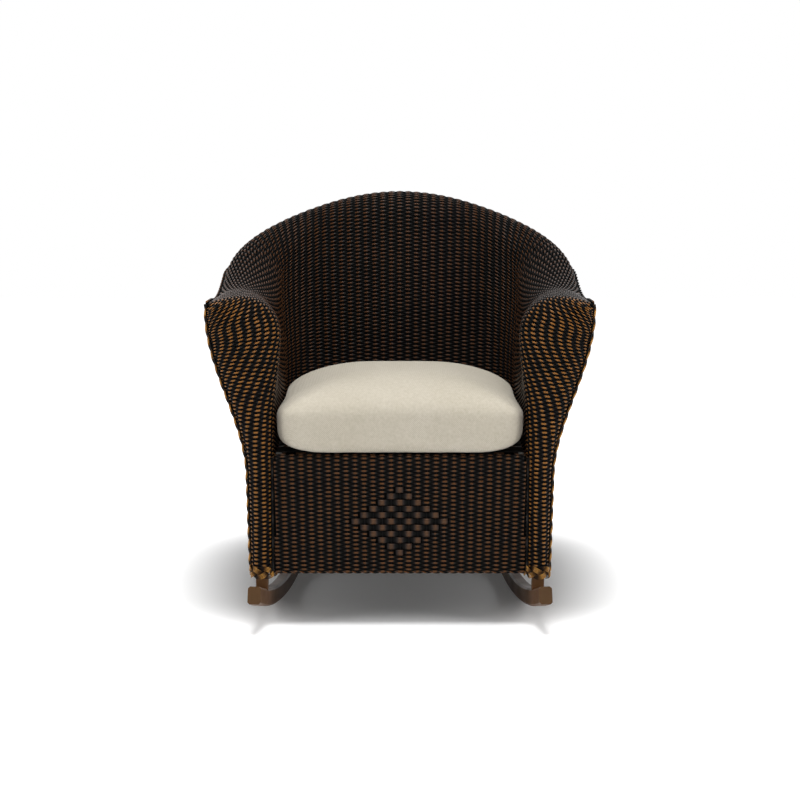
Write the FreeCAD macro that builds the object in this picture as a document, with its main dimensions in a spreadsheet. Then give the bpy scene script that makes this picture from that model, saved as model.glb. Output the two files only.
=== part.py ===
import FreeCAD, Part
import os
from math import asin, atan2, cos, degrees, pi, radians, sin, tan

import Sketcher

Vector = FreeCAD.Vector
Rotation = FreeCAD.Rotation
Placement = FreeCAD.Placement

# Tub rocker: woven skins on a bent tube frame, two curved rockers, one loose seat cushion.
# Origin on the floor under the middle of the footprint, +X to the sitter's left,
# the front faces -Y. Millimetres and degrees.

doc = FreeCAD.newDocument("rocker")
sheet = doc.addObject("Spreadsheet::Sheet", "Sizes")

sizes = [
    # rockers
    ("chair_depth", 860),
    ("rocker_width", 27),
    ("rocker_height", 36.5),
    ("rocker_wall", 3),
    ("rocker_corner", 4),
    ("rocker_sole_radius", 1306),
    ("rocker_contact_y", -15),
    ("rocker_toe_angle", 5.3),
    ("rocker_cap_length", 6),
    # posts and rails
    ("post_width", 25),
    ("post_wall", 2.5),
    ("post_step", 27),
    ("front_post_y", -323.5),
    ("front_post_top", 596),
    ("rail_height", 25),
    ("rail_wall", 2),
    ("rail_corner", 4.5),
    ("rail_top_z", 356),
    ("front_rail_width", 40),
    ("side_rail_width", 30),
    ("side_rail_overlap", 15),
    ("deck_rail_width", 32),
    ("deck_rail_lip", 14),
    ("rear_rail_y", 236),
    # thin rods and the bent rim tube
    ("apron_rod_diameter", 12),
    ("apron_rod_height", 9),
    ("base_rod_diameter", 10),
    ("brace_diameter", 14),
    ("brace_height", 142),
    ("hoop_diameter", 16),
    ("hoop_wall", 2),
    ("hoop_angle", 150),
    ("hoop_bend", 22),
    ("upright_diameter", 12),
    ("upright_spacing", 130),
    ("strut_diameter", 12),
    # inner wall of the tub, at the seat and at the start of the rolled rim
    ("seat_half_width", 262),
    ("seat_back_y", 164),
    ("seat_corner", 70),
    ("roll_step", 14),
    ("roll_back_y", 275),
    ("roll_corner", 95),
    ("roll_radius", 65),
    ("roll_span", 129),
    ("rim_step", 144),
    ("edge_back_angle", 105),
    ("edge_front_angle", 23),
    ("arm_crest_z", 688),
    ("back_crest_z", 890),
    ("rise_length", 705),
    ("arm_bulge_z", 450),
    # swollen front of each arm
    ("arm_front_y", -300),
    ("arm_flare_length", 200),
    ("arm_front_step", 14),
    ("arm_front_radius", 79),
    ("nose_edge_y", -330),
    ("nose_step", 133),
    ("nose_bottom_z", 116),
    ("nose_reach_outer", 45),
    ("nose_reach_inner", 78),
    ("nose_round", 50),
    ("nose_even_height", 320),
    # outer shell
    ("weave_thickness", 5),
    ("skirt_step", 47),
    ("base_corner", 55),
    ("shell_lean", 5),
    ("shell_lean_height", 200),
    ("shell_drop", 1.5),
    # braids
    ("edge_braid_diameter", 6),
    ("base_braid_diameter", 10),
    ("seat_gap", 0.2),
    ("braid_gap", 0.5),
    ("tube_gap", 1.8),
    ("cut_overrun", 20),
    # front apron
    ("apron_face_y", -345),
    ("apron_bottom_z", 122.5),
    ("apron_bend", 9),
    ("apron_return", 18),
    # seat deck
    ("strap_width", 50),
    ("strap_thickness", 2.6),
    ("strap_pitch", 86),
    ("strap_margin", 2),
    ("first_cross_strap_y", -262),
    ("clip_length", 11),
    # cushion
    ("cushion_side_room", 3.5),
    ("cushion_front_y", -352),
    ("cushion_back_room", 12),
    ("cushion_height", 164),
    ("cushion_front_corner", 62),
    ("cushion_back_corner", 76),
    ("cushion_draw_in", 4),
    ("cushion_gap", 0.3),
    ("cover_thickness", 1.5),
]

for line, (name, value) in enumerate(sizes, start=1):
    sheet.set(f"A{line}", name)
    sheet.set(f"B{line}", str(value))
    sheet.setAlias(f"B{line}", name)
doc.recompute()

# Shares of the shell's height where it starts and ends its outward sweep.
sweepStartShare = 0.355
sweepEndShare = 0.966
# How fast the rim's outer edge rolls under on its way from the arms to the back.
edgeBlendShare = 0.62
# How far out of plane four corners may be and still make one flat face.
flatLimit = 1e-7
# The middle of a cubic curve reaches this share of its pull.
pullShare = 0.75
# Where along its straight run each arm has its strut.
strutShare = 0.375
# Shares of the cushion's half height at which its outline is taken, and how square it is.
cushionLevelShares = (-0.985, -0.95, -0.85, -0.6, 0, 0.35, 0.6, 0.8, 0.9, 0.96, 0.99)
cushionFootSquareness = 6.5
cushionCrownSquareness = 3


def size(name):
    return float(sheet.get(name))


thickness = size("weave_thickness")
gap = size("seat_gap")
armFrontY = size("arm_front_y")
railTop = size("rail_top_z")
noseBottom = size("nose_bottom_z")
rollRadius = size("roll_radius")
seatHalfWidth = size("seat_half_width")
seatBackY = size("seat_back_y")

# Half widths and depths that keep their distance from the seat's.
frontPostX = seatHalfWidth + size("post_step")
rollHalfWidth = seatHalfWidth + size("roll_step")
edgeHalfWidth = seatHalfWidth + size("rim_step")
armFrontHalfWidth = seatHalfWidth - size("arm_front_step")
noseTopHalfWidth = seatHalfWidth + size("nose_step")
baseHalfWidth = seatHalfWidth + size("skirt_step")
cushionHalfWidth = seatHalfWidth - size("cushion_side_room")
cushionBackY = seatBackY - size("cushion_back_room")


def finish(shape, label):
    piece = doc.addObject("Part::Feature", label)
    piece.Shape = shape
    piece.Label = label
    return piece


def smooth(share):
    share = min(1, max(0, share))
    return share * share * (3 - 2 * share)


def blend(low, high, share):
    return low + (high - low) * share


def mirrored(point):
    return Vector(-point.x, point.y, point.z)


# Plan stations of the tub, from the middle of the back to the front of one arm

def backStation(share):
    return {"zone": "back", "share": share, "out": Vector(0, 1, 0), "turn": 1}


def cornerStation(angle):
    out = Vector(cos(radians(angle)), sin(radians(angle)), 0)
    return {"zone": "corner", "share": angle, "out": out, "turn": out.y}


def armStation(share):
    return {"zone": "arm", "share": share, "out": Vector(1, 0, 0), "turn": 0}


def planPoint(station, halfWidth, backY, corner, frontY):
    # a point on a round-cornered U that is open to the front
    middle = Vector(halfWidth - corner, backY - corner, 0)
    if station["zone"] == "back":
        return Vector(middle.x * station["share"], backY, 0)
    if station["zone"] == "corner":
        return middle + station["out"] * corner
    return Vector(halfWidth, blend(middle.y, frontY, station["share"]), 0)


def rollPlan(station):
    return planPoint(station, rollHalfWidth, size("roll_back_y"),
                     size("roll_corner"), armFrontY)


def crestLength(station):
    # length along the crest from the middle of the back
    flat = rollHalfWidth - size("roll_corner")
    bend = size("roll_corner") + rollRadius
    if station["zone"] == "back":
        return flat * station["share"]
    if station["zone"] == "corner":
        return flat + bend * radians(90 - station["share"])
    side = size("roll_back_y") - size("roll_corner") - armFrontY
    return flat + bend * pi / 2 + side * station["share"]


def armFlare(station):
    if station["zone"] != "arm":
        return 0
    return smooth((armFrontY + size("arm_flare_length") - rollPlan(station).y)
                  / size("arm_flare_length"))


def rollSection(station):
    # the rolled rim at one station: two arcs that meet at the crest
    flare = armFlare(station)
    along = crestLength(station)
    total = crestLength(armStation(1))
    start = rollPlan(station)
    start.x += (armFrontHalfWidth - rollHalfWidth) * flare
    firstRadius = blend(rollRadius, size("arm_front_radius"), flare)
    rise = cos(pi / 2 * min(1, along / size("rise_length"))) ** 2
    crest = blend(size("arm_crest_z"), size("back_crest_z"), rise)
    fall = cos(pi / 2 * along / total) ** 2
    edgeAngle = radians(blend(size("edge_front_angle"), size("edge_back_angle"),
                              fall ** edgeBlendShare))
    edgeHalf = blend(edgeHalfWidth, noseTopHalfWidth, flare)
    armSpan = edgeHalf - start.x
    if station["zone"] != "arm":
        armSpan = edgeHalfWidth - rollHalfWidth
    span = blend(armSpan, size("roll_span"), station["turn"])
    return {
        "start": start, "firstRadius": firstRadius, "crest": crest,
        "middleZ": crest - firstRadius, "edgeAngle": edgeAngle,
        "secondRadius": (span - firstRadius) / sin(edgeAngle),
    }


def rollPoint(station, section, angle, inset=0):
    # angle 180 is the inner side, 90 the crest, less than 90 the outer side
    radius = section["firstRadius"]
    middleZ = section["middleZ"]
    if angle < 90:
        radius = section["secondRadius"]
        middleZ = section["crest"] - radius
    reach = section["firstRadius"] + (radius - inset) * cos(radians(angle))
    point = section["start"] + station["out"] * reach
    return Vector(point.x, point.y, middleZ + (radius - inset) * sin(radians(angle)))


def wallFoot(station, footZ):
    foot = planPoint(station, seatHalfWidth, seatBackY,
                     size("seat_corner"), armFrontY)
    return Vector(foot.x, foot.y, footZ)


def wallLean(station, section):
    foot = wallFoot(station, railTop)
    run = (section["start"] - foot).dot(station["out"])
    return degrees(atan2(run, section["middleZ"] - railTop))


def wallPoint(station, section, share, footZ):
    # the wall leans straight at the back and swells only above the cushion at the arms
    foot = wallFoot(station, footZ)
    top = rollPoint(station, section, 180 - wallLean(station, section))
    height = blend(footZ, top.z, share)
    straight = max(0, (height - railTop) / (top.z - railTop))
    swollen = smooth((height - size("arm_bulge_z")) / (top.z - size("arm_bulge_z")))
    run = Vector(top.x - foot.x, top.y - foot.y, 0)
    outward = station["out"] * run.dot(station["out"])
    point = foot + (run - outward) * straight
    point += outward * blend(swollen, straight, station["turn"])
    return Vector(point.x, point.y, height)


def edgePoint(station, inset=0):
    section = rollSection(station)
    return rollPoint(station, section, 90 - degrees(section["edgeAngle"]), inset)


def innerLine(station, inset=0, wallSteps=4, arcSteps=4):
    # up the inner wall and over the roll, hidden side where inset
    section = rollSection(station)
    tangent = 180 - wallLean(station, section)
    last = 90 - degrees(section["edgeAngle"])
    shift = station["out"] * inset
    points = [wallPoint(station, section, step / wallSteps, railTop) + shift
              for step in range(wallSteps)]
    points += [rollPoint(station, section, blend(tangent, 90, step / arcSteps), inset)
               for step in range(arcSteps)]
    points += [rollPoint(station, section, blend(90, last, step / arcSteps), inset)
               for step in range(arcSteps + 1)]
    return points


def armProfile(lowSteps=3):
    # the line of the very front of the arm, from the tub's base to its outer edge
    station = armStation(1)
    low = [wallFoot(station, blend(noseBottom, railTop, step / lowSteps))
           for step in range(lowSteps)]
    return low + innerLine(station)


# Swollen arm front: every row runs from the arm's end to the outer braid edge


def columnLengths(points):
    lengths = [0]
    for first, second in zip(points, points[1:]):
        lengths.append(lengths[-1] + first.distanceToPoint(second))
    return lengths


def pointAlong(points, lengths, distance):
    # the point at one distance and the direction of the line there
    distance = min(lengths[-1], max(0, distance))
    index = 0
    while index < len(lengths) - 2 and lengths[index + 1] < distance:
        index += 1
    share = (distance - lengths[index]) / (lengths[index + 1] - lengths[index])
    run = points[index + 1] - points[index]
    return points[index] + run * share, run.normalize()


def shellReach(height, footZ, topZ):
    # share of the outward sweep of the outer shell at one height
    share = (height - footZ) / (topZ - footZ)
    return smooth((share - sweepStartShare) / (sweepEndShare - sweepStartShare))


def shellPoint(foot, top, out, share):
    height = blend(foot.z, top.z, share)
    lean = size("shell_lean") * min(1, (height - foot.z) / size("shell_lean_height"))
    run = Vector(top.x - foot.x, top.y - foot.y, 0)
    outward = out * run.dot(out)
    reach = shellReach(height, foot.z, top.z)
    point = foot + (run - outward) * share + out * lean + (outward - out * lean) * reach
    return Vector(point.x, point.y, height)


def noseEdge(steps=40):
    out = Vector(1, 0, 0)
    foot = Vector(baseHalfWidth, size("nose_edge_y"), noseBottom)
    top = Vector(noseTopHalfWidth, size("nose_edge_y"), edgePoint(armStation(1)).z)
    return [shellPoint(foot, top, out, step / steps) for step in range(steps + 1)]


def bulge(start, end, innerPull, outerPull, steps=7):
    curve = Part.BezierCurve()
    curve.setPoles([start, start - Vector(0, innerPull, 0), end - Vector(0, outerPull, 0), end])
    return [curve.value(step / steps) for step in range(steps + 1)]


def noseRow(profile, profileRun, edge, edgeRun, row):
    # rows stay level low down and crowd together towards the top outer corner
    start = profile[row]
    startDirection = pathDirections(profile)[row]
    even = size("nose_even_height")
    reach = profileRun[row]
    if reach > even:
        spare = profileRun[-1] - edgeRun[-1]
        reach -= spare * ((reach - even) / (profileRun[-1] - even)) ** 2
    end, endDirection = pointAlong(edge, edgeRun, reach)
    startHidden = Vector(startDirection.z, 0, -startDirection.x)
    endHidden = Vector(-endDirection.z, 0, endDirection.x)
    if row == 0:
        endHidden = Vector(-1, 0, 0)
    startDepth = startHidden * thickness
    endDepth = endHidden * thickness
    if start == profile[-1]:
        mitre = (startHidden + endHidden) * thickness / (1 + startHidden.dot(endHidden))
        startDepth = mitre
        endDepth = mitre
    width = Vector(end.x - start.x, 0, end.z - start.z).Length
    swell = min(1, width / size("nose_round"))
    third = (start.y - end.y) / 3
    flat = [third, -third]
    full = [size("nose_reach_inner"), size("nose_reach_outer")]
    pulls = [blend(low, high, swell) for low, high in zip(flat, full)]
    hiddenPulls = [pull - swell * thickness / pullShare for pull in pulls]
    front = bulge(start, end, *pulls)
    back = bulge(start + startDepth, end + endDepth, *hiddenPulls)
    return front + back[::-1]


# Skins and rods: flat facets between rings of points, closed by a flat face at each end


def flatFaces(corners):
    # one face where the four corners share a plane, else two
    first, second, third, fourth = corners
    across = (second - first).cross(third - first)
    outlines = [corners]
    if abs(across.normalize().dot(fourth - first)) > flatLimit:
        outlines = [[first, second, third], [first, third, fourth]]
    return [Part.Face(Part.makePolygon(outline + outline[:1])) for outline in outlines]


def facetedSolid(rings):
    faces = [Part.Face(Part.makePolygon(ring + ring[:1])) for ring in (rings[0], rings[-1])]
    for low, high in zip(rings, rings[1:]):
        for place in range(len(low)):
            following = (place + 1) % len(low)
            faces += flatFaces([low[place], low[following], high[following], high[place]])
    solid = Part.Solid(Part.Shell(faces))
    if solid.Volume < 0:
        solid.reverse()
    return solid


def tubStations(backSteps=3, cornerSteps=6, armSteps=8):
    # half of the U from the middle of the back to the arm's front
    stations = [backStation(step / backSteps) for step in range(backSteps)]
    stations += [cornerStation(90 - 90 * step / cornerSteps) for step in range(cornerSteps)]
    stations += [armStation(step / armSteps) for step in range(armSteps + 1)]
    return stations


def mirroredRing(ring):
    return [mirrored(point) for point in ring]


def uShapedSkin(half):
    # half runs from the middle of the back to the front of one arm
    other = [mirroredRing(ring) for ring in half]
    return facetedSolid(other[:0:-1] + half)


def innerWeave():
    half = [innerLine(station) + innerLine(station, thickness)[::-1]
            for station in tubStations()]
    return uShapedSkin(half)


def noseWeave(side):
    profile = armProfile()
    profileRun = columnLengths(profile)
    edge = noseEdge()
    edgeRun = columnLengths(edge)
    rows = [noseRow(profile, profileRun, edge, edgeRun, row) for row in range(len(profile))]
    if side < 0:
        rows = [mirroredRing(row) for row in rows]
    skin = facetedSolid(rows)
    return skin.cut(frontRailSpace()).cut(apronRodSpace())


def frontRailSpace():
    # where the front rail passes through the weave to reach the posts
    reach = frontPostX
    back = size("apron_face_y") + thickness + size("front_rail_width")
    low = Vector(-reach, size("apron_face_y") + thickness - gap,
                 railTop - size("rail_height") - gap)
    high = Vector(reach, back + gap, railTop + gap)
    run = high - low
    return Part.makeBox(run.x, run.y, run.z, low)


def apronRodSpace():
    reach = frontPostX
    return Part.makeCylinder(size("apron_rod_diameter") / 2 + gap, 2 * reach,
                             apronRodStart() - Vector(reach - postInner(), 0, 0),
                             Vector(1, 0, 0))


def postInner():
    return frontPostX - size("post_width") / 2


def apronRodStart():
    radius = size("apron_rod_diameter") / 2
    return Vector(-postInner(), size("apron_face_y") + thickness + radius,
                  size("apron_bottom_z") + size("apron_rod_height"))


def baseBackY():
    # the base rod lies against the rear posts and the shell against the rod
    return (size("rear_rail_y") + size("post_width") / 2 + size("base_rod_diameter")
            + thickness)


def shellFoot(station):
    return planPoint(station, baseHalfWidth, baseBackY(),
                     size("base_corner"), size("nose_edge_y"))


def shellLine(station, inset=0, steps=8):
    plan = shellFoot(station)
    foot = Vector(plan.x, plan.y, noseBottom)
    top = edgePoint(station)
    if station["share"] == 1:
        top.y = size("nose_edge_y")
    top.z -= thickness + size("shell_drop")
    shift = station["out"] * inset
    return [shellPoint(foot, top, station["out"], step / steps) - shift
            for step in range(steps + 1)]


def outerWeave():
    half = [shellLine(station) + shellLine(station, thickness)[::-1]
            for station in tubStations()]
    return uShapedSkin(half)


# Round rods: many-sided rings that follow the path without twisting


def ringAround(middle, first, second, radius, sides):
    turns = [2 * pi * side / sides for side in range(sides)]
    return [middle + (first * cos(turn) + second * sin(turn)) * radius for turn in turns]


def pathDirections(points):
    last = len(points) - 1
    return [(points[min(last, place + 1)] - points[max(0, place - 1)]).normalize()
            for place in range(last + 1)]


def rodRings(points, directions, radius, sides):
    guide = Vector(0, 0, 1)
    if abs(directions[0].z) > cos(pi / 4):
        guide = Vector(1, 0, 0)
    rings = []
    for point, direction in zip(points, directions):
        first = (guide - direction * guide.dot(direction)).normalize()
        rings.append(ringAround(point, first, direction.cross(first), radius, sides))
        guide = first
    return rings


def rodSolid(points, radius, startDirection, endDirection, sides=8, wall=0):
    directions = [startDirection] + pathDirections(points)[1:-1] + [endDirection]
    outer = facetedSolid(rodRings(points, directions, radius, sides))
    if not wall:
        return outer
    return outer.cut(facetedSolid(rodRings(points, directions, radius - wall, sides)))


def bothEnds(half):
    return [mirrored(point) for point in half[:0:-1]] + half


def hoopPoint(station):
    inset = thickness + size("tube_gap") + size("hoop_diameter") / 2
    return rollPoint(station, rollSection(station), size("hoop_angle"), inset)


def hoopPath():
    half = [hoopPoint(station) for station in tubStations(2, 5, 6)]
    end = Vector(frontPostX, size("front_post_y"), size("front_post_top"))
    bend = Part.BezierCurve()
    bend.setPoles([half[-1], half[-1] - Vector(0, size("hoop_bend"), 0),
                   end + Vector(0, 0, size("hoop_bend")), end])
    steps = 4
    half += [bend.value(step / steps) for step in range(1, steps + 1)]
    return bothEnds(half)


def rimHoop(wall):
    return rodSolid(hoopPath(), size("hoop_diameter") / 2, Vector(0, 0, 1),
                    Vector(0, 0, -1), wall=wall)


def noseBraid(side):
    radius = size("edge_braid_diameter") / 2
    edge = noseEdge(14)
    path = []
    for point, direction in zip(edge, pathDirections(edge)):
        out = Vector(direction.z, -1, -direction.x)
        path.append(point + out * (radius + size("braid_gap")))
    if side < 0:
        path = [mirrored(point) for point in path]
    return rodSolid(path, radius, Vector(0, 0, 1), Vector(0, 0, 1), 6)


def rimBraid():
    radius = size("edge_braid_diameter") / 2
    half = []
    for station in tubStations():
        angle = rollSection(station)["edgeAngle"]
        out = station["out"] * sin(angle) + Vector(0, 0, cos(angle))
        half.append(edgePoint(station) + out * (radius + size("braid_gap")))
    half.append(half[-1] + Vector(0, size("nose_edge_y") - armFrontY, 0))
    return rodSolid(bothEnds(half), radius, Vector(0, 1, 0), Vector(0, -1, 0), 6)


def noseFootRow(steps=6):
    foot = noseEdge(1)[0]
    start = wallFoot(armStation(1), noseBottom)
    curve = Part.BezierCurve()
    curve.setPoles([foot, foot - Vector(0, size("nose_reach_outer"), 0),
                    start - Vector(0, size("nose_reach_inner"), 0), start])
    return [curve.value(step / steps) for step in range(1, steps + 1)]


def baseBraid():
    radius = size("base_braid_diameter") / 2
    half = [shellFoot(station) for station in tubStations(1, 6, 1)] + noseFootRow()
    half = [Vector(point.x, point.y, noseBottom - radius - gap) for point in half]
    return rodSolid(bothEnds(half), radius, Vector(0, -1, 0), Vector(0, 1, 0))


def baseRod():
    radius = size("base_rod_diameter") / 2
    postBack = size("front_post_y") + size("post_width") / 2
    half = []
    for station in tubStations(1, 6, 1):
        point = shellFoot(station) - station["out"] * (thickness + radius)
        half.append(Vector(point.x, max(point.y, postBack), noseBottom + radius))
    return rodSolid(bothEnds(half), radius, Vector(0, 1, 0), Vector(0, -1, 0))


# Sketched pieces


def measure(formula):
    return float(sheet.evalExpression(formula))


def newSketch(body, role):
    sketch = body.newObject("Sketcher::SketchObject", body.Name + "Outline")
    plane = [item for item in body.Origin.OriginFeatures if item.Role == role][0]
    sketch.AttachmentSupport = [(plane, "")]
    sketch.MapMode = "FlatFace"
    return sketch


def centredRectangle(sketch, width, height):
    # width and height are formulas of the sheet's cells
    first = sketch.GeometryCount
    halfWidth = measure(width) / 2
    halfHeight = measure(height) / 2
    corners = [Vector(-halfWidth, -halfHeight, 0), Vector(halfWidth, -halfHeight, 0),
               Vector(halfWidth, halfHeight, 0), Vector(-halfWidth, halfHeight, 0)]
    for side in range(4):
        sketch.addGeometry(Part.LineSegment(corners[side], corners[(side + 1) % 4]), False)
    for side in range(4):
        sketch.addConstraint(Sketcher.Constraint("Coincident", first + side, 2,
                                                 first + (side + 1) % 4, 1))
    for side, direction in enumerate(("Horizontal", "Vertical") * 2):
        sketch.addConstraint(Sketcher.Constraint(direction, first + side))
    sketch.addConstraint(Sketcher.Constraint("Symmetric", first, 1, first + 2, 1, -1, 1))
    for side, kind, formula in ((0, "DistanceX", width), (1, "DistanceY", height)):
        place = sketch.addConstraint(Sketcher.Constraint(kind, first + side, 1,
                                                         first + side, 2,
                                                         measure(formula)))
        sketch.setExpression(f"Constraints[{place}]", formula)


def newBody(label):
    body = doc.addObject("PartDesign::Body", label)
    body.Label = label
    return body


def boxTube(label, width, height, wall, length, placement, corner=None):
    # a rectangular tube that stands on its own XY plane
    body = newBody(label)
    sketch = newSketch(body, "XY_Plane")
    centredRectangle(sketch, width, height)
    centredRectangle(sketch, f"{width} - 2 * {wall}", f"{height} - 2 * {wall}")
    pad = body.newObject("PartDesign::Pad", label + "Length")
    pad.Profile = sketch
    if isinstance(length, str):
        pad.setExpression("Length", length)
    else:
        pad.Length = length
    body.Placement = placement
    if corner:
        doc.recompute()
        half = Vector(measure(width), measure(height), 0) / 2
        outer = [f"Edge{place}" for place, edge in enumerate(pad.Shape.Edges, start=1)
                 if edge.BoundBox.DiagonalLength > pad.Length.Value - gap
                 and edge.BoundBox.ZLength > pad.Length.Value - gap
                 and abs(edge.CenterOfMass.x) > half.x - gap
                 and abs(edge.CenterOfMass.y) > half.y - gap]
        softened = body.newObject("PartDesign::Fillet", label + "Corners")
        softened.Base = (pad, outer)
        softened.setExpression("Radius", corner)
        body.Tip = softened
    return body


def rodBetween(label, diameter, start, end):
    run = end - start
    cylinder = doc.addObject("Part::Cylinder", label)
    cylinder.setExpression("Radius", f"{diameter} / 2")
    cylinder.Height = run.Length
    cylinder.Placement = Placement(start, Rotation(Vector(0, 0, 1), run))
    cylinder.Label = label
    return cylinder


def group(label, pieces):
    compound = doc.addObject("Part::Compound", label)
    compound.Links = pieces
    compound.Label = label
    return compound


def trimmed(label, base, tool):
    cut = doc.addObject("Part::Cut", label)
    cut.Base = base
    cut.Tool = tool
    base.Label = label + "Blank"
    cut.Label = label
    return cut


# Rockers: a box tube bent to one radius, toed in towards the back


def toe():
    return radians(size("rocker_toe_angle"))


def rockerX(y):
    # the rockers run under the front posts and close in towards the back
    return frontPostX - tan(toe()) * (y - size("front_post_y"))


def soleAngle(reach):
    # angle at which the sole's tip comes out at one distance from the contact line
    side = size("rocker_width") / 2 * sin(toe())
    return degrees(asin((reach - side) / (size("rocker_sole_radius") * cos(toe()))))


def frontSweep():
    return soleAngle(size("chair_depth") / 2 + size("rocker_contact_y"))


def backSweep():
    return soleAngle(size("chair_depth") / 2 - size("rocker_contact_y"))


def rockerPlacement(side, tilt):
    # the local sole touches the floor at the local origin and runs along Y
    centre = Vector(0, 0, size("rocker_sole_radius"))
    swing = Placement(Vector(0, 0, 0), Rotation(Vector(1, 0, 0), tilt), centre)
    turn = Rotation(Vector(0, 0, 1), side * size("rocker_toe_angle"))
    contactY = size("rocker_contact_y")
    foot = Vector(side * rockerX(contactY), contactY, 0)
    return Placement(foot, turn).multiply(swing)


def capSweep():
    return degrees(size("rocker_cap_length") / size("rocker_sole_radius"))


def rockerBar(start, end, side):
    # a solid length of the rocker's outline between two angles, front to back
    halfWidth = size("rocker_width") / 2
    height = size("rocker_height")
    corner = size("rocker_corner")
    box = Part.makeBox(2 * halfWidth, height, height, Vector(-halfWidth, 0, 0))
    lengthwise = [edge for edge in box.Edges
                  if abs(edge.tangentAt(edge.FirstParameter).y) > cos(pi / 4)]
    box = box.makeChamfer(corner, lengthwise)
    face = [item for item in box.Faces if item.BoundBox.YMax < gap][0]
    bar = face.revolve(Vector(0, 0, size("rocker_sole_radius")), Vector(1, 0, 0), end - start)
    bar.Placement = rockerPlacement(side, start)
    return bar


def rocker(label, side):
    body = newBody(label)
    sketch = newSketch(body, "XZ_Plane")
    centredRectangle(sketch, "Sizes.rocker_width", "Sizes.rocker_height")
    centredRectangle(sketch, "Sizes.rocker_width - 2 * Sizes.rocker_wall",
                     "Sizes.rocker_height - 2 * Sizes.rocker_wall")
    axis = sketch.addGeometry(Part.LineSegment(Vector(0, size("rocker_sole_radius"), 0),
                                               Vector(size("rocker_width"),
                                                      size("rocker_sole_radius"), 0)), True)
    sketch.addConstraint(Sketcher.Constraint("Horizontal", axis))
    sketch.addConstraint(Sketcher.Constraint("PointOnObject", axis, 1, -2))
    place = sketch.addConstraint(Sketcher.Constraint("DistanceY", -1, 1, axis, 1,
                                                     size("rocker_sole_radius")))
    sketch.setExpression(f"Constraints[{place}]",
                         "Sizes.rocker_sole_radius - Sizes.rocker_height / 2")
    turned = body.newObject("PartDesign::Revolution", label + "Bend")
    turned.Profile = sketch
    turned.ReferenceAxis = (sketch, ["Axis0"])
    turned.Angle = frontSweep() + backSweep() - 2 * capSweep()
    turned.Midplane = True
    doc.recompute()
    bends = [f"Edge{place}" for place, edge in enumerate(body.Shape.Edges, start=1)
             if edge.Curve.TypeId == "Part::GeomCircle"
             and min(abs(edge.Curve.Radius - size("rocker_sole_radius")),
                     abs(edge.Curve.Radius - size("rocker_sole_radius")
                         + size("rocker_height"))) < gap]
    softened = body.newObject("PartDesign::Chamfer", label + "Corners")
    softened.Base = (turned, bends)
    softened.setExpression("Size", "Sizes.rocker_corner")
    body.Tip = softened
    middle = Placement(Vector(0, 0, size("rocker_height") / 2), Rotation())
    tilt = (backSweep() - frontSweep()) / 2
    body.Placement = rockerPlacement(side, tilt).multiply(middle)
    return body


def rockerEnvelope(side):
    return finish(rockerBar(-frontSweep(), backSweep(), side), f"rockerEnvelope{side + 1}")


def endCaps():
    caps = []
    for side in (-1, 1):
        caps.append(rockerBar(-frontSweep(), capSweep() - frontSweep(), side))
        caps.append(rockerBar(backSweep() - capSweep(), backSweep(), side))
    return Part.makeCompound(caps)


# Posts and rails

upright = Rotation()
alongX = Rotation(Vector(0, 1, 0), 90)
alongY = Rotation(Vector(1, 0, 0), -90)
postFormula = "Sizes.post_width"
railCorner = "Sizes.rail_corner"


def post(label, x, y, top, envelope):
    # a square tube coped over the rocker's top
    inner = size("rocker_sole_radius") - size("rocker_height")
    depth = abs(y - size("rocker_contact_y")) - size("post_width") / 2
    lip = size("rocker_sole_radius") - (inner ** 2 - depth ** 2) ** 0.5 - size("rocker_corner")
    blank = boxTube(label + "Tube", postFormula, postFormula, "Sizes.post_wall",
                    top - lip, Placement(Vector(x, y, lip), upright))
    return trimmed(label, blank, envelope)


def frontRail():
    y = size("apron_face_y") + thickness + size("front_rail_width") / 2
    place = Placement(Vector(-postInner(), y, railTop - size("rail_height") / 2), alongX)
    length = "2 * (Sizes.seat_half_width + Sizes.post_step) - Sizes.post_width"
    return boxTube("seat_rail_front", "Sizes.rail_height", "Sizes.front_rail_width",
                   "Sizes.rail_wall", length, place, railCorner)


def sideRail(label, side):
    start = size("apron_face_y") + thickness + size("front_rail_width")
    x = seatHalfWidth + size("side_rail_width") / 2 - size("side_rail_overlap")
    place = Placement(Vector(side * x, start, railTop - size("rail_height") / 2), alongY)
    length = ("Sizes.rear_rail_y - Sizes.rail_height / 2 - Sizes.apron_face_y"
              " - Sizes.weave_thickness - Sizes.front_rail_width")
    return boxTube(label, "Sizes.side_rail_width", "Sizes.rail_height", "Sizes.rail_wall",
                   length, place, railCorner)


def sideRailInner():
    return seatHalfWidth - size("side_rail_overlap")


def deckRail():
    y = seatBackY - size("deck_rail_lip") + size("deck_rail_width") / 2
    place = Placement(Vector(-sideRailInner(), y, railTop - size("rail_height") / 2), alongX)
    return boxTube("seat_rail_back", "Sizes.rail_height", "Sizes.deck_rail_width",
                   "Sizes.rail_wall", "2 * (Sizes.seat_half_width - Sizes.side_rail_overlap)",
                   place, railCorner)


def rearCrossRail():
    reach = sideRailInner() + size("side_rail_width")
    place = Placement(Vector(-reach, size("rear_rail_y"), railTop - size("rail_height") / 2),
                      alongX)
    length = "2 * (Sizes.seat_half_width - Sizes.side_rail_overlap + Sizes.side_rail_width)"
    return boxTube("rear_cross_rail", "Sizes.rail_height", "Sizes.rail_height",
                   "Sizes.rail_wall", length, place, railCorner)


def rearBrace():
    inner = rockerX(size("rear_rail_y")) - size("post_width") / 2
    start = Vector(-inner, size("rear_rail_y"), size("brace_height"))
    return rodBetween("rear_brace", "Sizes.brace_diameter", start, mirrored(start))


def apronRod():
    return rodBetween("apron_rod", "Sizes.apron_rod_diameter", apronRodStart(),
                      mirrored(apronRodStart()))


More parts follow.
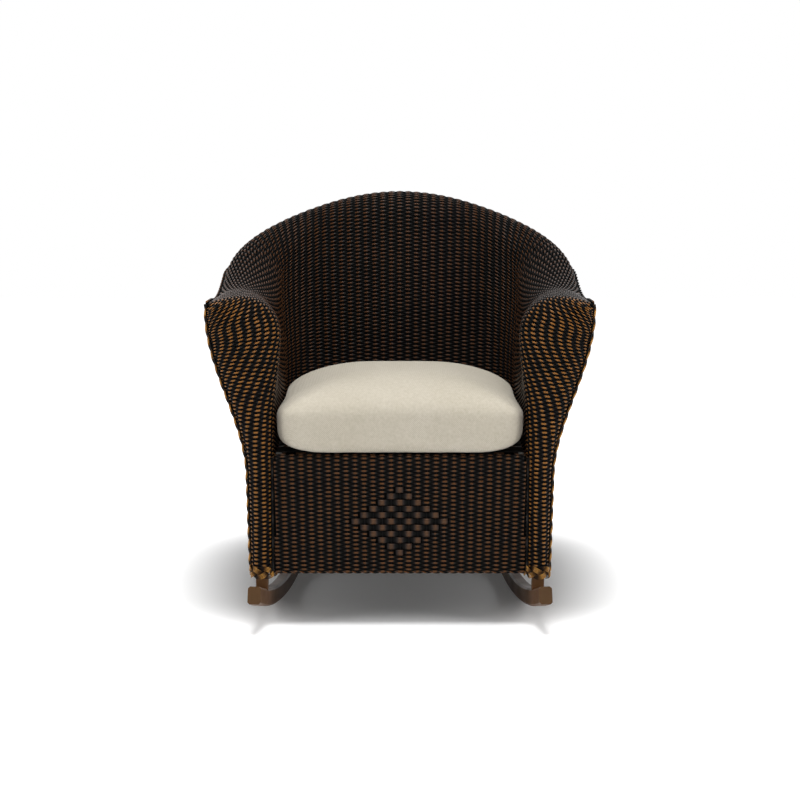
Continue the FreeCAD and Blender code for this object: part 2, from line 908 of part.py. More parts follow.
def belowDeck():
    # everything under the rails' tops, to trim the feet of the leaning rods
    box = doc.addObject("Part::Box", "belowDeck")
    box.setExpression("Length", "2 * (Sizes.seat_half_width + Sizes.rim_step)")
    box.setExpression("Width", "Sizes.chair_depth")
    box.setExpression("Height", "Sizes.rail_top_z")
    box.Placement = Placement(Vector(-edgeHalfWidth, -size("chair_depth") / 2, 0),
                              upright)
    return box


def leaningRod(label, diameter, station, side, tool):
    # from the rails' tops up behind the weave to the middle of the rim tube
    run = thickness + size("tube_gap") + size(diameter) / 2
    section = rollSection(station)
    foot = wallFoot(station, railTop) + station["out"] * run
    top = hoopPoint(station)
    foot.x = blend(foot.x, top.x, station["turn"])
    foot.y = blend(top.y, foot.y, station["turn"])
    if side < 0:
        foot = mirrored(foot)
        top = mirrored(top)
    below = (foot - top).normalize() * size("cut_overrun")
    blank = rodBetween(label + "Rod", f"Sizes.{diameter}", foot + below, top)
    return trimmed(label, blank, tool)


# Seat deck


def strap(label, length, width, height, corner):
    box = doc.addObject("Part::Box", label)
    box.setExpression("Length", length)
    box.setExpression("Width", width)
    box.setExpression("Height", height)
    box.Placement = Placement(corner, upright)
    return box


def lengthwiseStraps(count=5):
    front = (size("apron_face_y") + thickness + size("apron_return")
             + size("strap_margin"))
    length = ("Sizes.seat_back_y - 2 * Sizes.strap_margin - Sizes.apron_face_y"
              " - Sizes.weave_thickness - Sizes.apron_return")
    straps = []
    for place in range(count):
        x = (place - (count - 1) / 2) * size("strap_pitch") - size("strap_width") / 2
        straps.append(strap(f"lengthStrap{place}", "Sizes.strap_width", length,
                            "Sizes.strap_thickness", Vector(x, front, railTop)))
    return group("webbing_lengthwise", straps)


def crossStrapRows(count=5):
    return [size("first_cross_strap_y") + place * size("strap_pitch")
            - size("strap_width") / 2 for place in range(count)]


def crosswiseStraps():
    reach = seatHalfWidth - size("strap_margin")
    height = railTop + size("strap_thickness")
    straps = [strap(f"crossStrap{place}", "2 * (Sizes.seat_half_width - Sizes.strap_margin)",
                    "Sizes.strap_width", "Sizes.strap_thickness", Vector(-reach, y, height))
              for place, y in enumerate(crossStrapRows())]
    return group("webbing_crosswise", straps)


def strapClips():
    reach = seatHalfWidth - size("strap_margin")
    clips = []
    for place, y in enumerate(crossStrapRows()):
        for x in (-reach, reach - size("clip_length")):
            clips.append(strap(f"clip{len(clips)}", "Sizes.clip_length", "Sizes.strap_width",
                               "Sizes.strap_thickness", Vector(x, y, railTop)))
    return group("webbing_clips", clips)


# Front apron: one bent strip of weave, its top turned back over the front rail


def apronWeave():
    body = newBody("apron_weave")
    sketch = newSketch(body, "YZ_Plane")
    face = size("apron_face_y")
    bottom = size("apron_bottom_z")
    top = railTop + gap + thickness
    end = face + thickness + size("apron_return")
    bend = size("apron_bend")
    inner = bend - thickness
    middle = Vector(face + bend, top - bend, 0)
    corner = pi * 3 / 4
    turn = Vector(cos(corner), sin(corner), 0)
    outline = [
        Part.LineSegment(Vector(face, bottom, 0), Vector(face, middle.y, 0)),
        Part.Arc(Vector(face, middle.y, 0), middle + turn * bend, Vector(middle.x, top, 0)),
        Part.LineSegment(Vector(middle.x, top, 0), Vector(end, top, 0)),
        Part.LineSegment(Vector(end, top, 0), Vector(end, top - thickness, 0)),
        Part.LineSegment(Vector(end, top - thickness, 0),
                         Vector(middle.x, top - thickness, 0)),
        Part.Arc(Vector(middle.x, top - thickness, 0), middle + turn * inner,
                 Vector(face + thickness, middle.y, 0)),
        Part.LineSegment(Vector(face + thickness, middle.y, 0),
                         Vector(face + thickness, bottom, 0)),
        Part.LineSegment(Vector(face + thickness, bottom, 0), Vector(face, bottom, 0)),
    ]
    sketch.addGeometry(outline, False)
    pad = body.newObject("PartDesign::Pad", "apronWidth")
    pad.Profile = sketch
    pad.Midplane = True
    pad.setExpression("Length", "2 * (Sizes.seat_half_width - Sizes.cushion_gap)")
    return body


# Seat cushion: a soft box with a crown and drawn-in sides


def cushionLevel(level, inset, arcSteps=4):
    square = cushionCrownSquareness if level > 0 else cushionFootSquareness
    share = (1 - abs(level) ** square) ** (1 / square)
    half = cushionHalfWidth * share - inset
    front = size("cushion_front_y")
    depth = (cushionBackY - front) / 2
    middle = front + depth
    depth = depth * share - inset
    drawIn = size("cushion_draw_in") * share
    first, last = cushionLevelShares[0], cushionLevelShares[-1]
    rise = (size("cushion_height") - 2 * inset) * (level - first) / (last - first)
    z = railTop + gap + thickness + size("cushion_gap") + inset + rise
    points = []
    for turn, corner in ((-90, "front"), (0, "back"), (90, "back"), (180, "front")):
        radius = size(f"cushion_{corner}_corner") * share
        middleTurn = radians(turn + 45)
        centre = Vector((half - radius) * (1 if cos(middleTurn) > 0 else -1),
                        middle + (depth - radius) * (1 if sin(middleTurn) > 0 else -1), z)
        for step in range(arcSteps + 1):
            angle = radians(turn + 90 * step / arcSteps)
            points.append(centre + Vector(cos(angle), sin(angle), 0) * radius)
        out = Vector(cos(angle), sin(angle), 0)
        waist = Vector(out.x * (half - drawIn), middle + out.y * (depth - drawIn), z)
        if abs(out.y) > abs(out.x):
            waist = Vector(0, waist.y, z)
        points.append(waist)
    return points


def cushionSolid(inset):
    return facetedSolid([cushionLevel(level, inset) for level in cushionLevelShares])


def cushionCover():
    return cushionSolid(0).cut(cushionSolid(size("cover_thickness")))


def cushionCore():
    return cushionSolid(size("cover_thickness") + size("cushion_gap"))


# Assembly

envelopes = {side: rockerEnvelope(side) for side in (-1, 1)}
pieces = []
for side, name in ((-1, "left"), (1, "right")):
    pieces.append(rocker(f"rocker_{name}", side))
    pieces.append(post(f"front_post_{name}", side * frontPostX,
                       size("front_post_y"), size("front_post_top"), envelopes[side]))
    pieces.append(post(f"rear_post_{name}", side * rockerX(size("rear_rail_y")),
                       size("rear_rail_y"), railTop - size("rail_height"), envelopes[side]))
    pieces.append(sideRail(f"seat_rail_{name}", side))
    pieces.append(finish(noseWeave(side), f"nose_weave_{name}"))
    pieces.append(finish(noseBraid(side), f"nose_braid_{name}"))
pieces.append(finish(endCaps(), "rocker_end_caps"))
pieces += [frontRail(), deckRail(), rearCrossRail(), rearBrace(), apronRod()]
pieces.append(finish(baseRod(), "base_rod"))
pieces.append(finish(rimHoop(size("hoop_wall")), "rim_hoop"))
hoopSpace = finish(rimHoop(0), "hoopEnvelope")
rodTrim = group("rodTrim", [belowDeck(), hoopSpace])
flatHalf = rollHalfWidth - size("roll_corner")
for name, side in (("left", -1), ("centre", 0), ("right", 1)):
    station = backStation(abs(side) * size("upright_spacing") / flatHalf)
    pieces.append(leaningRod(f"back_upright_{name}", "upright_diameter", station, side,
                             rodTrim))
for name, side in (("left", -1), ("right", 1)):
    station = armStation(strutShare)
    pieces.append(leaningRod(f"arm_strut_{name}", "strut_diameter", station, side, rodTrim))
pieces += [lengthwiseStraps(), crosswiseStraps(), strapClips(), apronWeave()]
pieces.append(finish(innerWeave(), "inner_weave"))
pieces.append(finish(outerWeave(), "outer_weave"))
pieces.append(finish(rimBraid(), "rim_braid"))
pieces.append(finish(baseBraid(), "base_braid"))
pieces.append(finish(cushionCover(), "cushion_cover"))
pieces.append(finish(cushionCore(), "cushion_core"))
doc.recompute()

os.makedirs("parts", exist_ok=True)
for item in doc.Objects:
    if "Invalid" in item.State or "Error" in item.State:
        raise RuntimeError(f"{item.Label} did not build")
for piece in pieces:
    if piece.Shape.isNull() or not piece.Shape.isValid() or not piece.Shape.Solids:
        raise RuntimeError(f"{piece.Label} has no valid solid")
    piece.Shape.exportStep(f"parts/{piece.Label}.step")
    print(piece.Label, len(piece.Shape.Solids), round(piece.Shape.Volume))
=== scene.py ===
import bpy
import bmesh
from math import atan2, cos, degrees, pi, radians, sin
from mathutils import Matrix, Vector


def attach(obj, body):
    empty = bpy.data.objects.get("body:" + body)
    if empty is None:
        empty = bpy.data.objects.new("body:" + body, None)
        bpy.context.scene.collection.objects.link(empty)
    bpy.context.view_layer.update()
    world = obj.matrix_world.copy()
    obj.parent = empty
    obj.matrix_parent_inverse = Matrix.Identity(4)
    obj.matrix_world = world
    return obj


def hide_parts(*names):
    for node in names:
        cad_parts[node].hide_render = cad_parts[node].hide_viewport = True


# Woven tub rocker with a loose seat cushion. Metres, the front faces -Y.

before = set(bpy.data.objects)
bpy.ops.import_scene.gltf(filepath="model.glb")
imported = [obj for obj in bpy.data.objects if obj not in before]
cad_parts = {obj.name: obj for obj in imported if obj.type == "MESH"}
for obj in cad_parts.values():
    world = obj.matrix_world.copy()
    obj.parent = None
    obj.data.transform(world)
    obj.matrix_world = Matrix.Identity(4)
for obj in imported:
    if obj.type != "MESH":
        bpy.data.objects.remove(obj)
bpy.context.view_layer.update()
print("stage: frame loaded")


# helpers for nodes and meshes

class Wire:
    # a node's output, the first one if none is named; reckoning with it adds Math nodes
    def __init__(self, node, output=0):
        self.node = node
        self.output = output

    @property
    def socket(self):
        return self.node.outputs[self.output]

    @property
    def tree(self):
        return self.node.id_data

    def __getitem__(self, output):
        return Wire(self.node, output)

    def reckon(self, operation, *others):
        settings = {"operation": operation}
        others = {f"i{place}": value for place, value in enumerate(others, 1)}
        return addNode(self.tree, "ShaderNodeMath", settings, i0=self, **others)

    def __add__(self, other):
        return self.reckon("ADD", other)

    def __sub__(self, other):
        return self.reckon("SUBTRACT", other)

    def __rsub__(self, other):
        return addNode(self.tree, "ShaderNodeMath", {"operation": "SUBTRACT"}, i0=other, i1=self)

    def __mul__(self, other):
        return self.reckon("MULTIPLY", other)

    def __truediv__(self, other):
        return self.reckon("DIVIDE", other)

    def __rtruediv__(self, other):
        return addNode(self.tree, "ShaderNodeMath", {"operation": "DIVIDE"}, i0=other, i1=self)


def addNode(tree, kind, settings=None, **inputs):
    # an input is a value or a wire; its name has _ for a space, or is its place: i0, i1 ...
    node = tree.nodes.new(kind)
    for name, value in (settings or {}).items():
        if name == "stops":
            fillRamp(node.color_ramp.elements, value)
        else:
            setattr(node, name, value)
    for name, value in inputs.items():
        socket = node.inputs[int(name[1:]) if name[1:].isdigit() else name.replace("_", " ")]
        if isinstance(value, Wire):
            tree.links.new(value.socket, socket)
        else:
            socket.default_value = value
    return Wire(node)


def fillRamp(elements, stops):
    while len(elements) < len(stops):
        elements.new(0.5)
    for element, (place, colour) in zip(elements, stops):
        element.position = place
        element.color = linear(colour)


def linear(hexColour):
    # an sRGB hex value as the linear colour that a shader wants
    channels = [int(hexColour[place:place + 2], 16) / 255 for place in (1, 3, 5)]
    return [c / 12.92 if c <= 0.04045 else ((c + 0.055) / 1.055) ** 2.4
            for c in channels] + [1.0]


vectorKind = {"data_type": "FLOAT_VECTOR"}
softEnds = {"interpolation_type": "SMOOTHSTEP"}


def meshObject(name, verts, edges, faces):
    mesh = bpy.data.meshes.new(name)
    mesh.from_pydata([tuple(v) for v in verts], edges, faces)
    piece = bpy.data.objects.new(name, mesh)
    bpy.context.collection.objects.link(piece)
    return piece


def meshPiece(name, verts, faces, material, smooth=True):
    piece = meshObject(name, verts, [], faces)
    piece.data.materials.append(material)
    piece.data.polygons.foreach_set("use_smooth", [smooth] * len(faces))
    piece.data.update()
    return piece


def smooth01(share):
    share = min(1, max(0, share))
    return share * share * (3 - 2 * share)


def blend(low, high, share):
    return low + (high - low) * share


# the tub's shape, in metres: the same three plan curves and rolled rim as the solids

tub = {
    "seatHalfWidth": 0.262, "seatBackY": 0.164, "seatCorner": 0.070, "deckZ": 0.356,
    "rollHalfWidth": 0.276, "rollBackY": 0.275, "rollCorner": 0.095,
    "rollRadius": 0.065, "rollSpan": 0.129, "edgeHalfWidth": 0.406,
    "edgeBackAngle": 105, "edgeFrontAngle": 23, "edgeBlend": 0.62,
    "armCrest": 0.688, "backCrest": 0.890, "riseLength": 0.705, "bulgeZ": 0.450,
    "armFrontY": -0.300, "flareLength": 0.200, "armFrontHalfWidth": 0.248,
    "armFrontRadius": 0.079,
    "noseEdgeY": -0.330, "noseTopHalfWidth": 0.395, "noseBottom": 0.116,
    "noseReachOuter": 0.045, "noseReachInner": 0.078, "noseRound": 0.050,
    "noseEven": 0.320,
    "baseHalfWidth": 0.309, "baseBackY": 0.2635, "baseCorner": 0.055,
    "shellLean": 0.005, "shellLeanHeight": 0.200, "sweepStart": 0.355, "sweepEnd": 0.966,
    "shellDrop": 0.004,
}


def planPoint(station, halfWidth, backY, corner, frontY):
    zone, share, out = station[:3]
    middleX, middleY = halfWidth - corner, backY - corner
    if zone == "back":
        return Vector((middleX * share, backY, 0))
    if zone == "corner":
        return Vector((middleX, middleY, 0)) + out * corner
    return Vector((halfWidth, blend(middleY, frontY, share), 0))


def stationList(backSteps, cornerSteps, armSteps):
    stations = [("back", step / backSteps, Vector((0, 1, 0)), 1) for step in range(backSteps)]
    for step in range(cornerSteps):
        angle = radians(90 - 90 * step / cornerSteps)
        out = Vector((cos(angle), sin(angle), 0))
        stations.append(("corner", 90 - 90 * step / cornerSteps, out, out.y))
    stations += [("arm", step / armSteps, Vector((1, 0, 0)), 0) for step in range(armSteps + 1)]
    return stations


def rollPlan(station):
    return planPoint(station, tub["rollHalfWidth"], tub["rollBackY"], tub["rollCorner"],
                     tub["armFrontY"])


def basePoint(station):
    return planPoint(station, tub["baseHalfWidth"], tub["baseBackY"], tub["baseCorner"],
                     tub["noseEdgeY"])


def crestLength(station):
    flat = tub["rollHalfWidth"] - tub["rollCorner"]
    bend = tub["rollCorner"] + tub["rollRadius"]
    if station[0] == "back":
        return flat * station[1]
    if station[0] == "corner":
        return flat + bend * radians(90 - station[1])
    side = tub["rollBackY"] - tub["rollCorner"] - tub["armFrontY"]
    return flat + bend * pi / 2 + side * station[1]


def armFlare(station):
    if station[0] != "arm":
        return 0
    return smooth01((tub["armFrontY"] + tub["flareLength"] - rollPlan(station).y)
                    / tub["flareLength"])


def rollSection(station):
    flare = armFlare(station)
    along = crestLength(station)
    total = crestLength(("arm", 1, None, 0))
    start = rollPlan(station)
    start.x += (tub["armFrontHalfWidth"] - tub["rollHalfWidth"]) * flare
    radius = blend(tub["rollRadius"], tub["armFrontRadius"], flare)
    rise = cos(pi / 2 * min(1, along / tub["riseLength"])) ** 2
    crest = blend(tub["armCrest"], tub["backCrest"], rise)
    fall = cos(pi / 2 * along / total) ** 2
    edgeAngle = radians(blend(tub["edgeFrontAngle"], tub["edgeBackAngle"],
                              fall ** tub["edgeBlend"]))
    armSpan = tub["edgeHalfWidth"] - tub["rollHalfWidth"]
    if station[0] == "arm":
        armSpan = blend(tub["edgeHalfWidth"], tub["noseTopHalfWidth"], flare) - start.x
    span = blend(armSpan, tub["rollSpan"], station[3])
    return {"start": start, "radius": radius, "crest": crest, "middleZ": crest - radius,
            "edgeAngle": edgeAngle, "secondRadius": (span - radius) / sin(edgeAngle)}


def rollPoint(station, section, angle):
    radius, middleZ = section["radius"], section["middleZ"]
    if angle < 90:
        radius = section["secondRadius"]
        middleZ = section["crest"] - radius
    reach = section["radius"] + radius * cos(radians(angle))
    point = section["start"] + station[2] * reach
    return Vector((point.x, point.y, middleZ + radius * sin(radians(angle))))


def wallPoint(station, section, share, footZ):
    foot = planPoint(station, tub["seatHalfWidth"], tub["seatBackY"], tub["seatCorner"],
                     tub["armFrontY"])
    run = (section["start"] - foot).dot(station[2])
    lean = degrees(atan2(run, section["middleZ"] - tub["deckZ"]))
    top = rollPoint(station, section, 180 - lean)
    height = blend(footZ, top.z, share)
    straight = max(0, (height - tub["deckZ"]) / (top.z - tub["deckZ"]))
    swollen = smooth01((height - tub["bulgeZ"]) / (top.z - tub["bulgeZ"]))
    run = Vector((top.x - foot.x, top.y - foot.y, 0))
    outward = station[2] * run.dot(station[2])
    point = foot + (run - outward) * straight + outward * blend(swollen, straight, station[3])
    return Vector((point.x, point.y, height)), lean


def innerColumn(station, footZ, wallSteps=30, arcSteps=24):
    # up the inner wall, over the crest and down to the rim's outer edge
    section = rollSection(station)
    points = []
    for step in range(wallSteps):
        point, lean = wallPoint(station, section, step / wallSteps, footZ)
        points.append(point)
    points += [rollPoint(station, section, blend(180 - lean, 90, step / arcSteps))
               for step in range(arcSteps)]
    last = 90 - degrees(section["edgeAngle"])
    points += [rollPoint(station, section, blend(90, last, step / arcSteps))
               for step in range(arcSteps + 1)]
    return points


def runOf(points):
    run = [0]
    for first, second in zip(points, points[1:]):
        run.append(run[-1] + (second - first).length)
    return run


def pointAt(points, run, distance):
    distance = min(run[-1], max(0, distance))
    index = 0
    while index < len(run) - 2 and run[index + 1] < distance:
        index += 1
    share = (distance - run[index]) / (run[index + 1] - run[index])
    return points[index].lerp(points[index + 1], share)


def resampled(points, count):
    run = runOf(points)
    return [pointAt(points, run, run[-1] * step / count) for step in range(count + 1)]


def shellPoint(foot, top, out, share):
    height = blend(foot.z, top.z, share)
    lean = tub["shellLean"] * min(1, (height - foot.z) / tub["shellLeanHeight"])
    run = Vector((top.x - foot.x, top.y - foot.y, 0))
    outward = out * run.dot(out)
    reach = smooth01((share - tub["sweepStart"]) / (tub["sweepEnd"] - tub["sweepStart"]))
    point = foot + (run - outward) * share + out * lean + (outward - out * lean) * reach
    return Vector((point.x, point.y, height))


def edgePoint(station):
    section = rollSection(station)
    return rollPoint(station, section, 90 - degrees(section["edgeAngle"]))


def noseEdge(steps=60):
    foot = Vector((tub["baseHalfWidth"], tub["noseEdgeY"], tub["noseBottom"]))
    top = Vector((tub["noseTopHalfWidth"], tub["noseEdgeY"], edgePoint(armTip).z))
    return [shellPoint(foot, top, Vector((1, 0, 0)), step / steps) for step in range(steps + 1)]


armTip = ("arm", 1, Vector((1, 0, 0)), 0)
armProfile = innerColumn(armTip, tub["noseBottom"], 60, 30)
armRun = runOf(armProfile)
deckRun = armRun[-1] - runOf(innerColumn(armTip, tub["deckZ"]))[-1]     # up to the deck's level
edgeLine = noseEdge()
edgeRun = runOf(edgeLine)


def noseRow(distance, steps):
    # one level of the swollen arm front, from the inner corner round to the braided edge
    start = pointAt(armProfile, armRun, distance)
    reach = distance
    if distance > tub["noseEven"]:
        spare = armRun[-1] - edgeRun[-1]
        reach -= spare * ((distance - tub["noseEven"]) / (armRun[-1] - tub["noseEven"])) ** 2
    end = pointAt(edgeLine, edgeRun, reach)
    width = Vector((end.x - start.x, 0, end.z - start.z)).length
    swell = min(1, width / tub["noseRound"])
    third = (start.y - end.y) / 3
    pulls = (blend(third, tub["noseReachInner"], swell),
             blend(-third, tub["noseReachOuter"], swell))
    poles = (start, start - Vector((0, pulls[0], 0)), end - Vector((0, pulls[1], 0)), end)
    points = []
    for step in range(steps + 1):
        t = step / steps
        weights = ((1 - t) ** 3, 3 * t * (1 - t) ** 2, 3 * t * t * (1 - t), t ** 3)
        points.append(sum((pole * weight for pole, weight in zip(poles, weights)), Vector()))
    return points


apron = {
    "halfWidth": 0.2614, "faceY": -0.345, "bottom": 0.1235, "top": 0.3612, "bend": 0.009,
    "backY": -0.322, "rows": 58, "stakes": 14.0,
    "rowsBelow": 2, "guideBelow": 2.2,          # rows under the first, and the guide under it
    "pitches": (0.0182, 0.01873),               # stake spacing at the bottom and at the top
    "figureRow": 7, "figureSize": 5, "blockRows": 3,    # the diamond, in blocks of three rows
    "hem": 0.1150, "hemInset": 0.002, "hemBack": 0.003,             # the rolled lower edge
    "sideOut": 0.0036, "sideBack": 0.0032, "sideDrop": 0.004,       # the stakes at the sides
    "sideRadius": 0.0030,
}


# guide surfaces: each weave is laid on one, its UV counts stakes and rows

weaveSizes = {
    "pitches": (0.0185, 0.0210),                # stake spacing at the seat and at the crest
    "rowPitch": 0.0045,
    "strandHeight": 0.92,                       # share of the row pitch that a strand fills
    "strandDepth": 0.0011,                      # half of a strand's thickness
    "wave": 0.0019,                             # how far a strand swings over and under
    "sink": 0.0018,                             # the middle of the weave under its guide
    "stakeRadius": 0.0013,
    "liningSink": 0.0052, "liningWall": 0.0006, # the dark sheet behind the weave, painted shade
    "uvWide": 60.0,                             # stakes to one unit of the guide's U
    "tuck": 0.005,                              # how far the guides run on behind an edge
}


def mirrored(points):
    return [Vector((-point.x, point.y, point.z)) for point in points]


def guideObject(name, rows, pitches=weaveSizes["pitches"], startRun=0.0, lowShare=0.0,
                flip=False):
    # rows of points from the middle outwards, bottom row first, and their mirror image as
    # one mesh with the layout as a UV map
    wide = len(rows[0])
    verts, uvs = [], []
    for level, row in enumerate(rows):
        share = blend(lowShare, 1, level / (len(rows) - 1))
        pitch = blend(*pitches, share)
        verts += row
        uvs += [((distance + startRun) / pitch / weaveSizes["uvWide"], share)
                for distance in runOf(row)]
    faces = [(level * wide + place, level * wide + place + 1,
              (level + 1) * wide + place + 1, (level + 1) * wide + place)
             for level in range(len(rows) - 1) for place in range(wide - 1)]
    count = len(verts)
    verts += mirrored(verts)
    uvs += [(-u, v) for u, v in uvs]
    faces += [tuple(count + index for index in face[::-1]) for face in faces]
    if flip:
        faces = [face[::-1] for face in faces]
    guide = meshObject(name, verts, [], faces)
    mesh = guide.data
    layer = mesh.uv_layers.new(name="layout")
    for loop in mesh.loops:
        layer.data[loop.index].uv = uvs[loop.vertex_index]
    merged = bmesh.new()
    merged.from_mesh(mesh)
    bmesh.ops.remove_doubles(merged, verts=merged.verts, dist=0.00005)
    merged.to_mesh(mesh)
    merged.free()
    storeVectors(mesh, "outward", [vert.normal for vert in mesh.vertices])
    return guide


def storeVectors(mesh, name, vectors):
    layer = mesh.attributes.new(name, "FLOAT_VECTOR", "POINT")
    layer.data.foreach_set("vector", [c for vector in vectors for c in vector])


def tucked(row):
    # the row runs on a little way behind its outer edge
    return row + [row[-1] + Vector((-0.001, weaveSizes["tuck"], 0))]


tubStations = stationList(8, 14, 26)


def tubRows(levels=56):
    columns = [resampled(innerColumn(station, tub["deckZ"]), levels) for station in tubStations]
    rows = []
    for level in range(levels + 1):
        distance = blend(deckRun, armRun[-1], level / levels)
        rows.append([column[level] for column in columns] + tucked(noseRow(distance, 14)[1:]))
    return rows


def lowNoseRows(levels=24):
    return [tucked(noseRow(deckRun * level / levels, 16)) for level in range(levels + 1)]


def apronRows(flatLevels=10, bendSteps=4, levels=48, steps=12):
    # up the flat front, round the front rail and back over its top
    size = apron
    bottom = size["bottom"] - size["guideBelow"] * weaveSizes["rowPitch"]
    profile = [(size["faceY"], blend(bottom, size["top"] - size["bend"], level / flatLevels))
               for level in range(flatLevels)]
    for step in range(bendSteps + 1):
        angle = pi - pi / 2 * step / bendSteps
        profile.append((size["faceY"] + size["bend"] * (1 + cos(angle)),
                        size["top"] - size["bend"] * (1 - sin(angle))))
    profile.append((size["backY"], size["top"]))
    line = resampled([Vector((0, y, z)) for y, z in profile], levels)
    return [[Vector((size["halfWidth"] * step / steps, point.y, point.z))
             for step in range(steps + 1)] for point in line]


def shellRows(levels=40):
    columns = []
    for station in stationList(8, 12, 24):
        foot = basePoint(station)
        foot.z = tub["noseBottom"]
        top = edgePoint(station)
        if station[:2] == armTip[:2]:
            top.y = tub["noseEdgeY"]
        top.z -= tub["shellDrop"]
        column = [shellPoint(foot, top, station[2], step / levels)
                  for step in range(levels + 1)]
        columns.append(resampled(column, levels))
    return [[column[level] for column in columns] for level in range(levels + 1)]


# the weave: a flat field of strands in Geometry Nodes, laid on a guide surface

def newTree(name, source, counts, sizes):
    # it takes the source object, whole counts, sizes, and the strand's material
    tree = bpy.data.node_groups.new(name, "GeometryNodeTree")
    kinds = {"Geometry": "Geometry", source: "Object", "Strand": "Material",
             **dict.fromkeys(counts, "Int"), **dict.fromkeys(sizes, "Float")}
    for label, kind in kinds.items():
        tree.interface.new_socket(label, in_out="INPUT", socket_type="NodeSocket" + kind)
    tree.interface.new_socket("Geometry", in_out="OUTPUT", socket_type="NodeSocketGeometry")
    return tree, addNode(tree, "NodeGroupInput")


def endTree(solid, strand, *spares):
    # drop what only the tree needed, and give the strands their material
    tree = solid.tree
    for spare in spares:
        solid = addNode(tree, "GeometryNodeRemoveAttribute", Geometry=solid, Name=spare)
    solid = addNode(tree, "GeometryNodeSetShadeSmooth", Geometry=solid)
    solid = addNode(tree, "GeometryNodeRealizeInstances", Geometry=solid)
    solid = addNode(tree, "GeometryNodeSetMaterial", Geometry=solid, Material=strand)
    addNode(tree, "NodeGroupOutput", Geometry=solid)
    return tree


def layOnGuide(field, given, across, up, depth, gone):
    # move a flat field onto the guide surface, and drop what lies off it
    tree = field.tree
    guide = addNode(tree, "GeometryNodeObjectInfo", Object=given["Guide"])["Geometry"]
    where = addNode(tree, "ShaderNodeCombineXYZ", X=across / given["UV Wide"], Y=up)
    layout = addNode(tree, "GeometryNodeInputNamedAttribute", vectorKind, Name="layout")
    outward = addNode(tree, "GeometryNodeInputNamedAttribute", vectorKind, Name="outward")
    spot, lift = (
        addNode(tree, "GeometryNodeSampleUVSurface", vectorKind, Mesh=guide, Value=value,
                Sample_UV=where, Source_UV_Map=layout)
        for value in (addNode(tree, "GeometryNodeInputPosition"), outward))
    lift = addNode(tree, "ShaderNodeVectorMath", {"operation": "NORMALIZE"}, i0=lift)
    lift = addNode(tree, "ShaderNodeVectorMath", {"operation": "SCALE"}, i0=lift, Scale=depth)
    field = addNode(tree, "GeometryNodeStoreNamedAttribute", Geometry=field, Name="gone",
                    Value=gone.reckon("MAXIMUM", 1 - spot["Is Valid"]))
    field = addNode(tree, "GeometryNodeSetPosition", Geometry=field,
                    Position=addNode(tree, "ShaderNodeVectorMath", i0=spot, i1=lift))
    gone = addNode(tree, "GeometryNodeInputNamedAttribute", Name="gone")
    field = addNode(tree, "GeometryNodeDeleteGeometry", Geometry=field,
                    Selection=gone.reckon("GREATER_THAN", 0.5))
    return endTree(field, given["Strand"], "gone")


def straightTube(start, end, points, sides):
    # a tube of radius one between two points, open to being bent later
    tree = start.tree
    line = addNode(tree, "GeometryNodeCurvePrimitiveLine", i0=start, i1=end)
    line = addNode(tree, "GeometryNodeResampleCurve", Curve=line, Count=points)
    profile = addNode(tree, "GeometryNodeCurvePrimitiveCircle", i0=sides, Radius=1.0)
    return addNode(tree, "GeometryNodeCurveToMesh", Curve=line, Profile_Curve=profile,
                   Fill_Caps=True)


def copiesInLine(item, count, start, offset, name):
    # real copies in a line, each of which keeps its number
    tree = item.tree
    points = addNode(tree, "GeometryNodeMeshLine", Count=count, Start_Location=start,
                     Offset=offset)
    points = addNode(tree, "GeometryNodeStoreNamedAttribute", Geometry=points, Name=name,
                     Value=addNode(tree, "GeometryNodeInputIndex") + 0)
    copies = addNode(tree, "GeometryNodeInstanceOnPoints", Points=points, Instance=item)
    return addNode(tree, "GeometryNodeRealizeInstances", Geometry=copies)


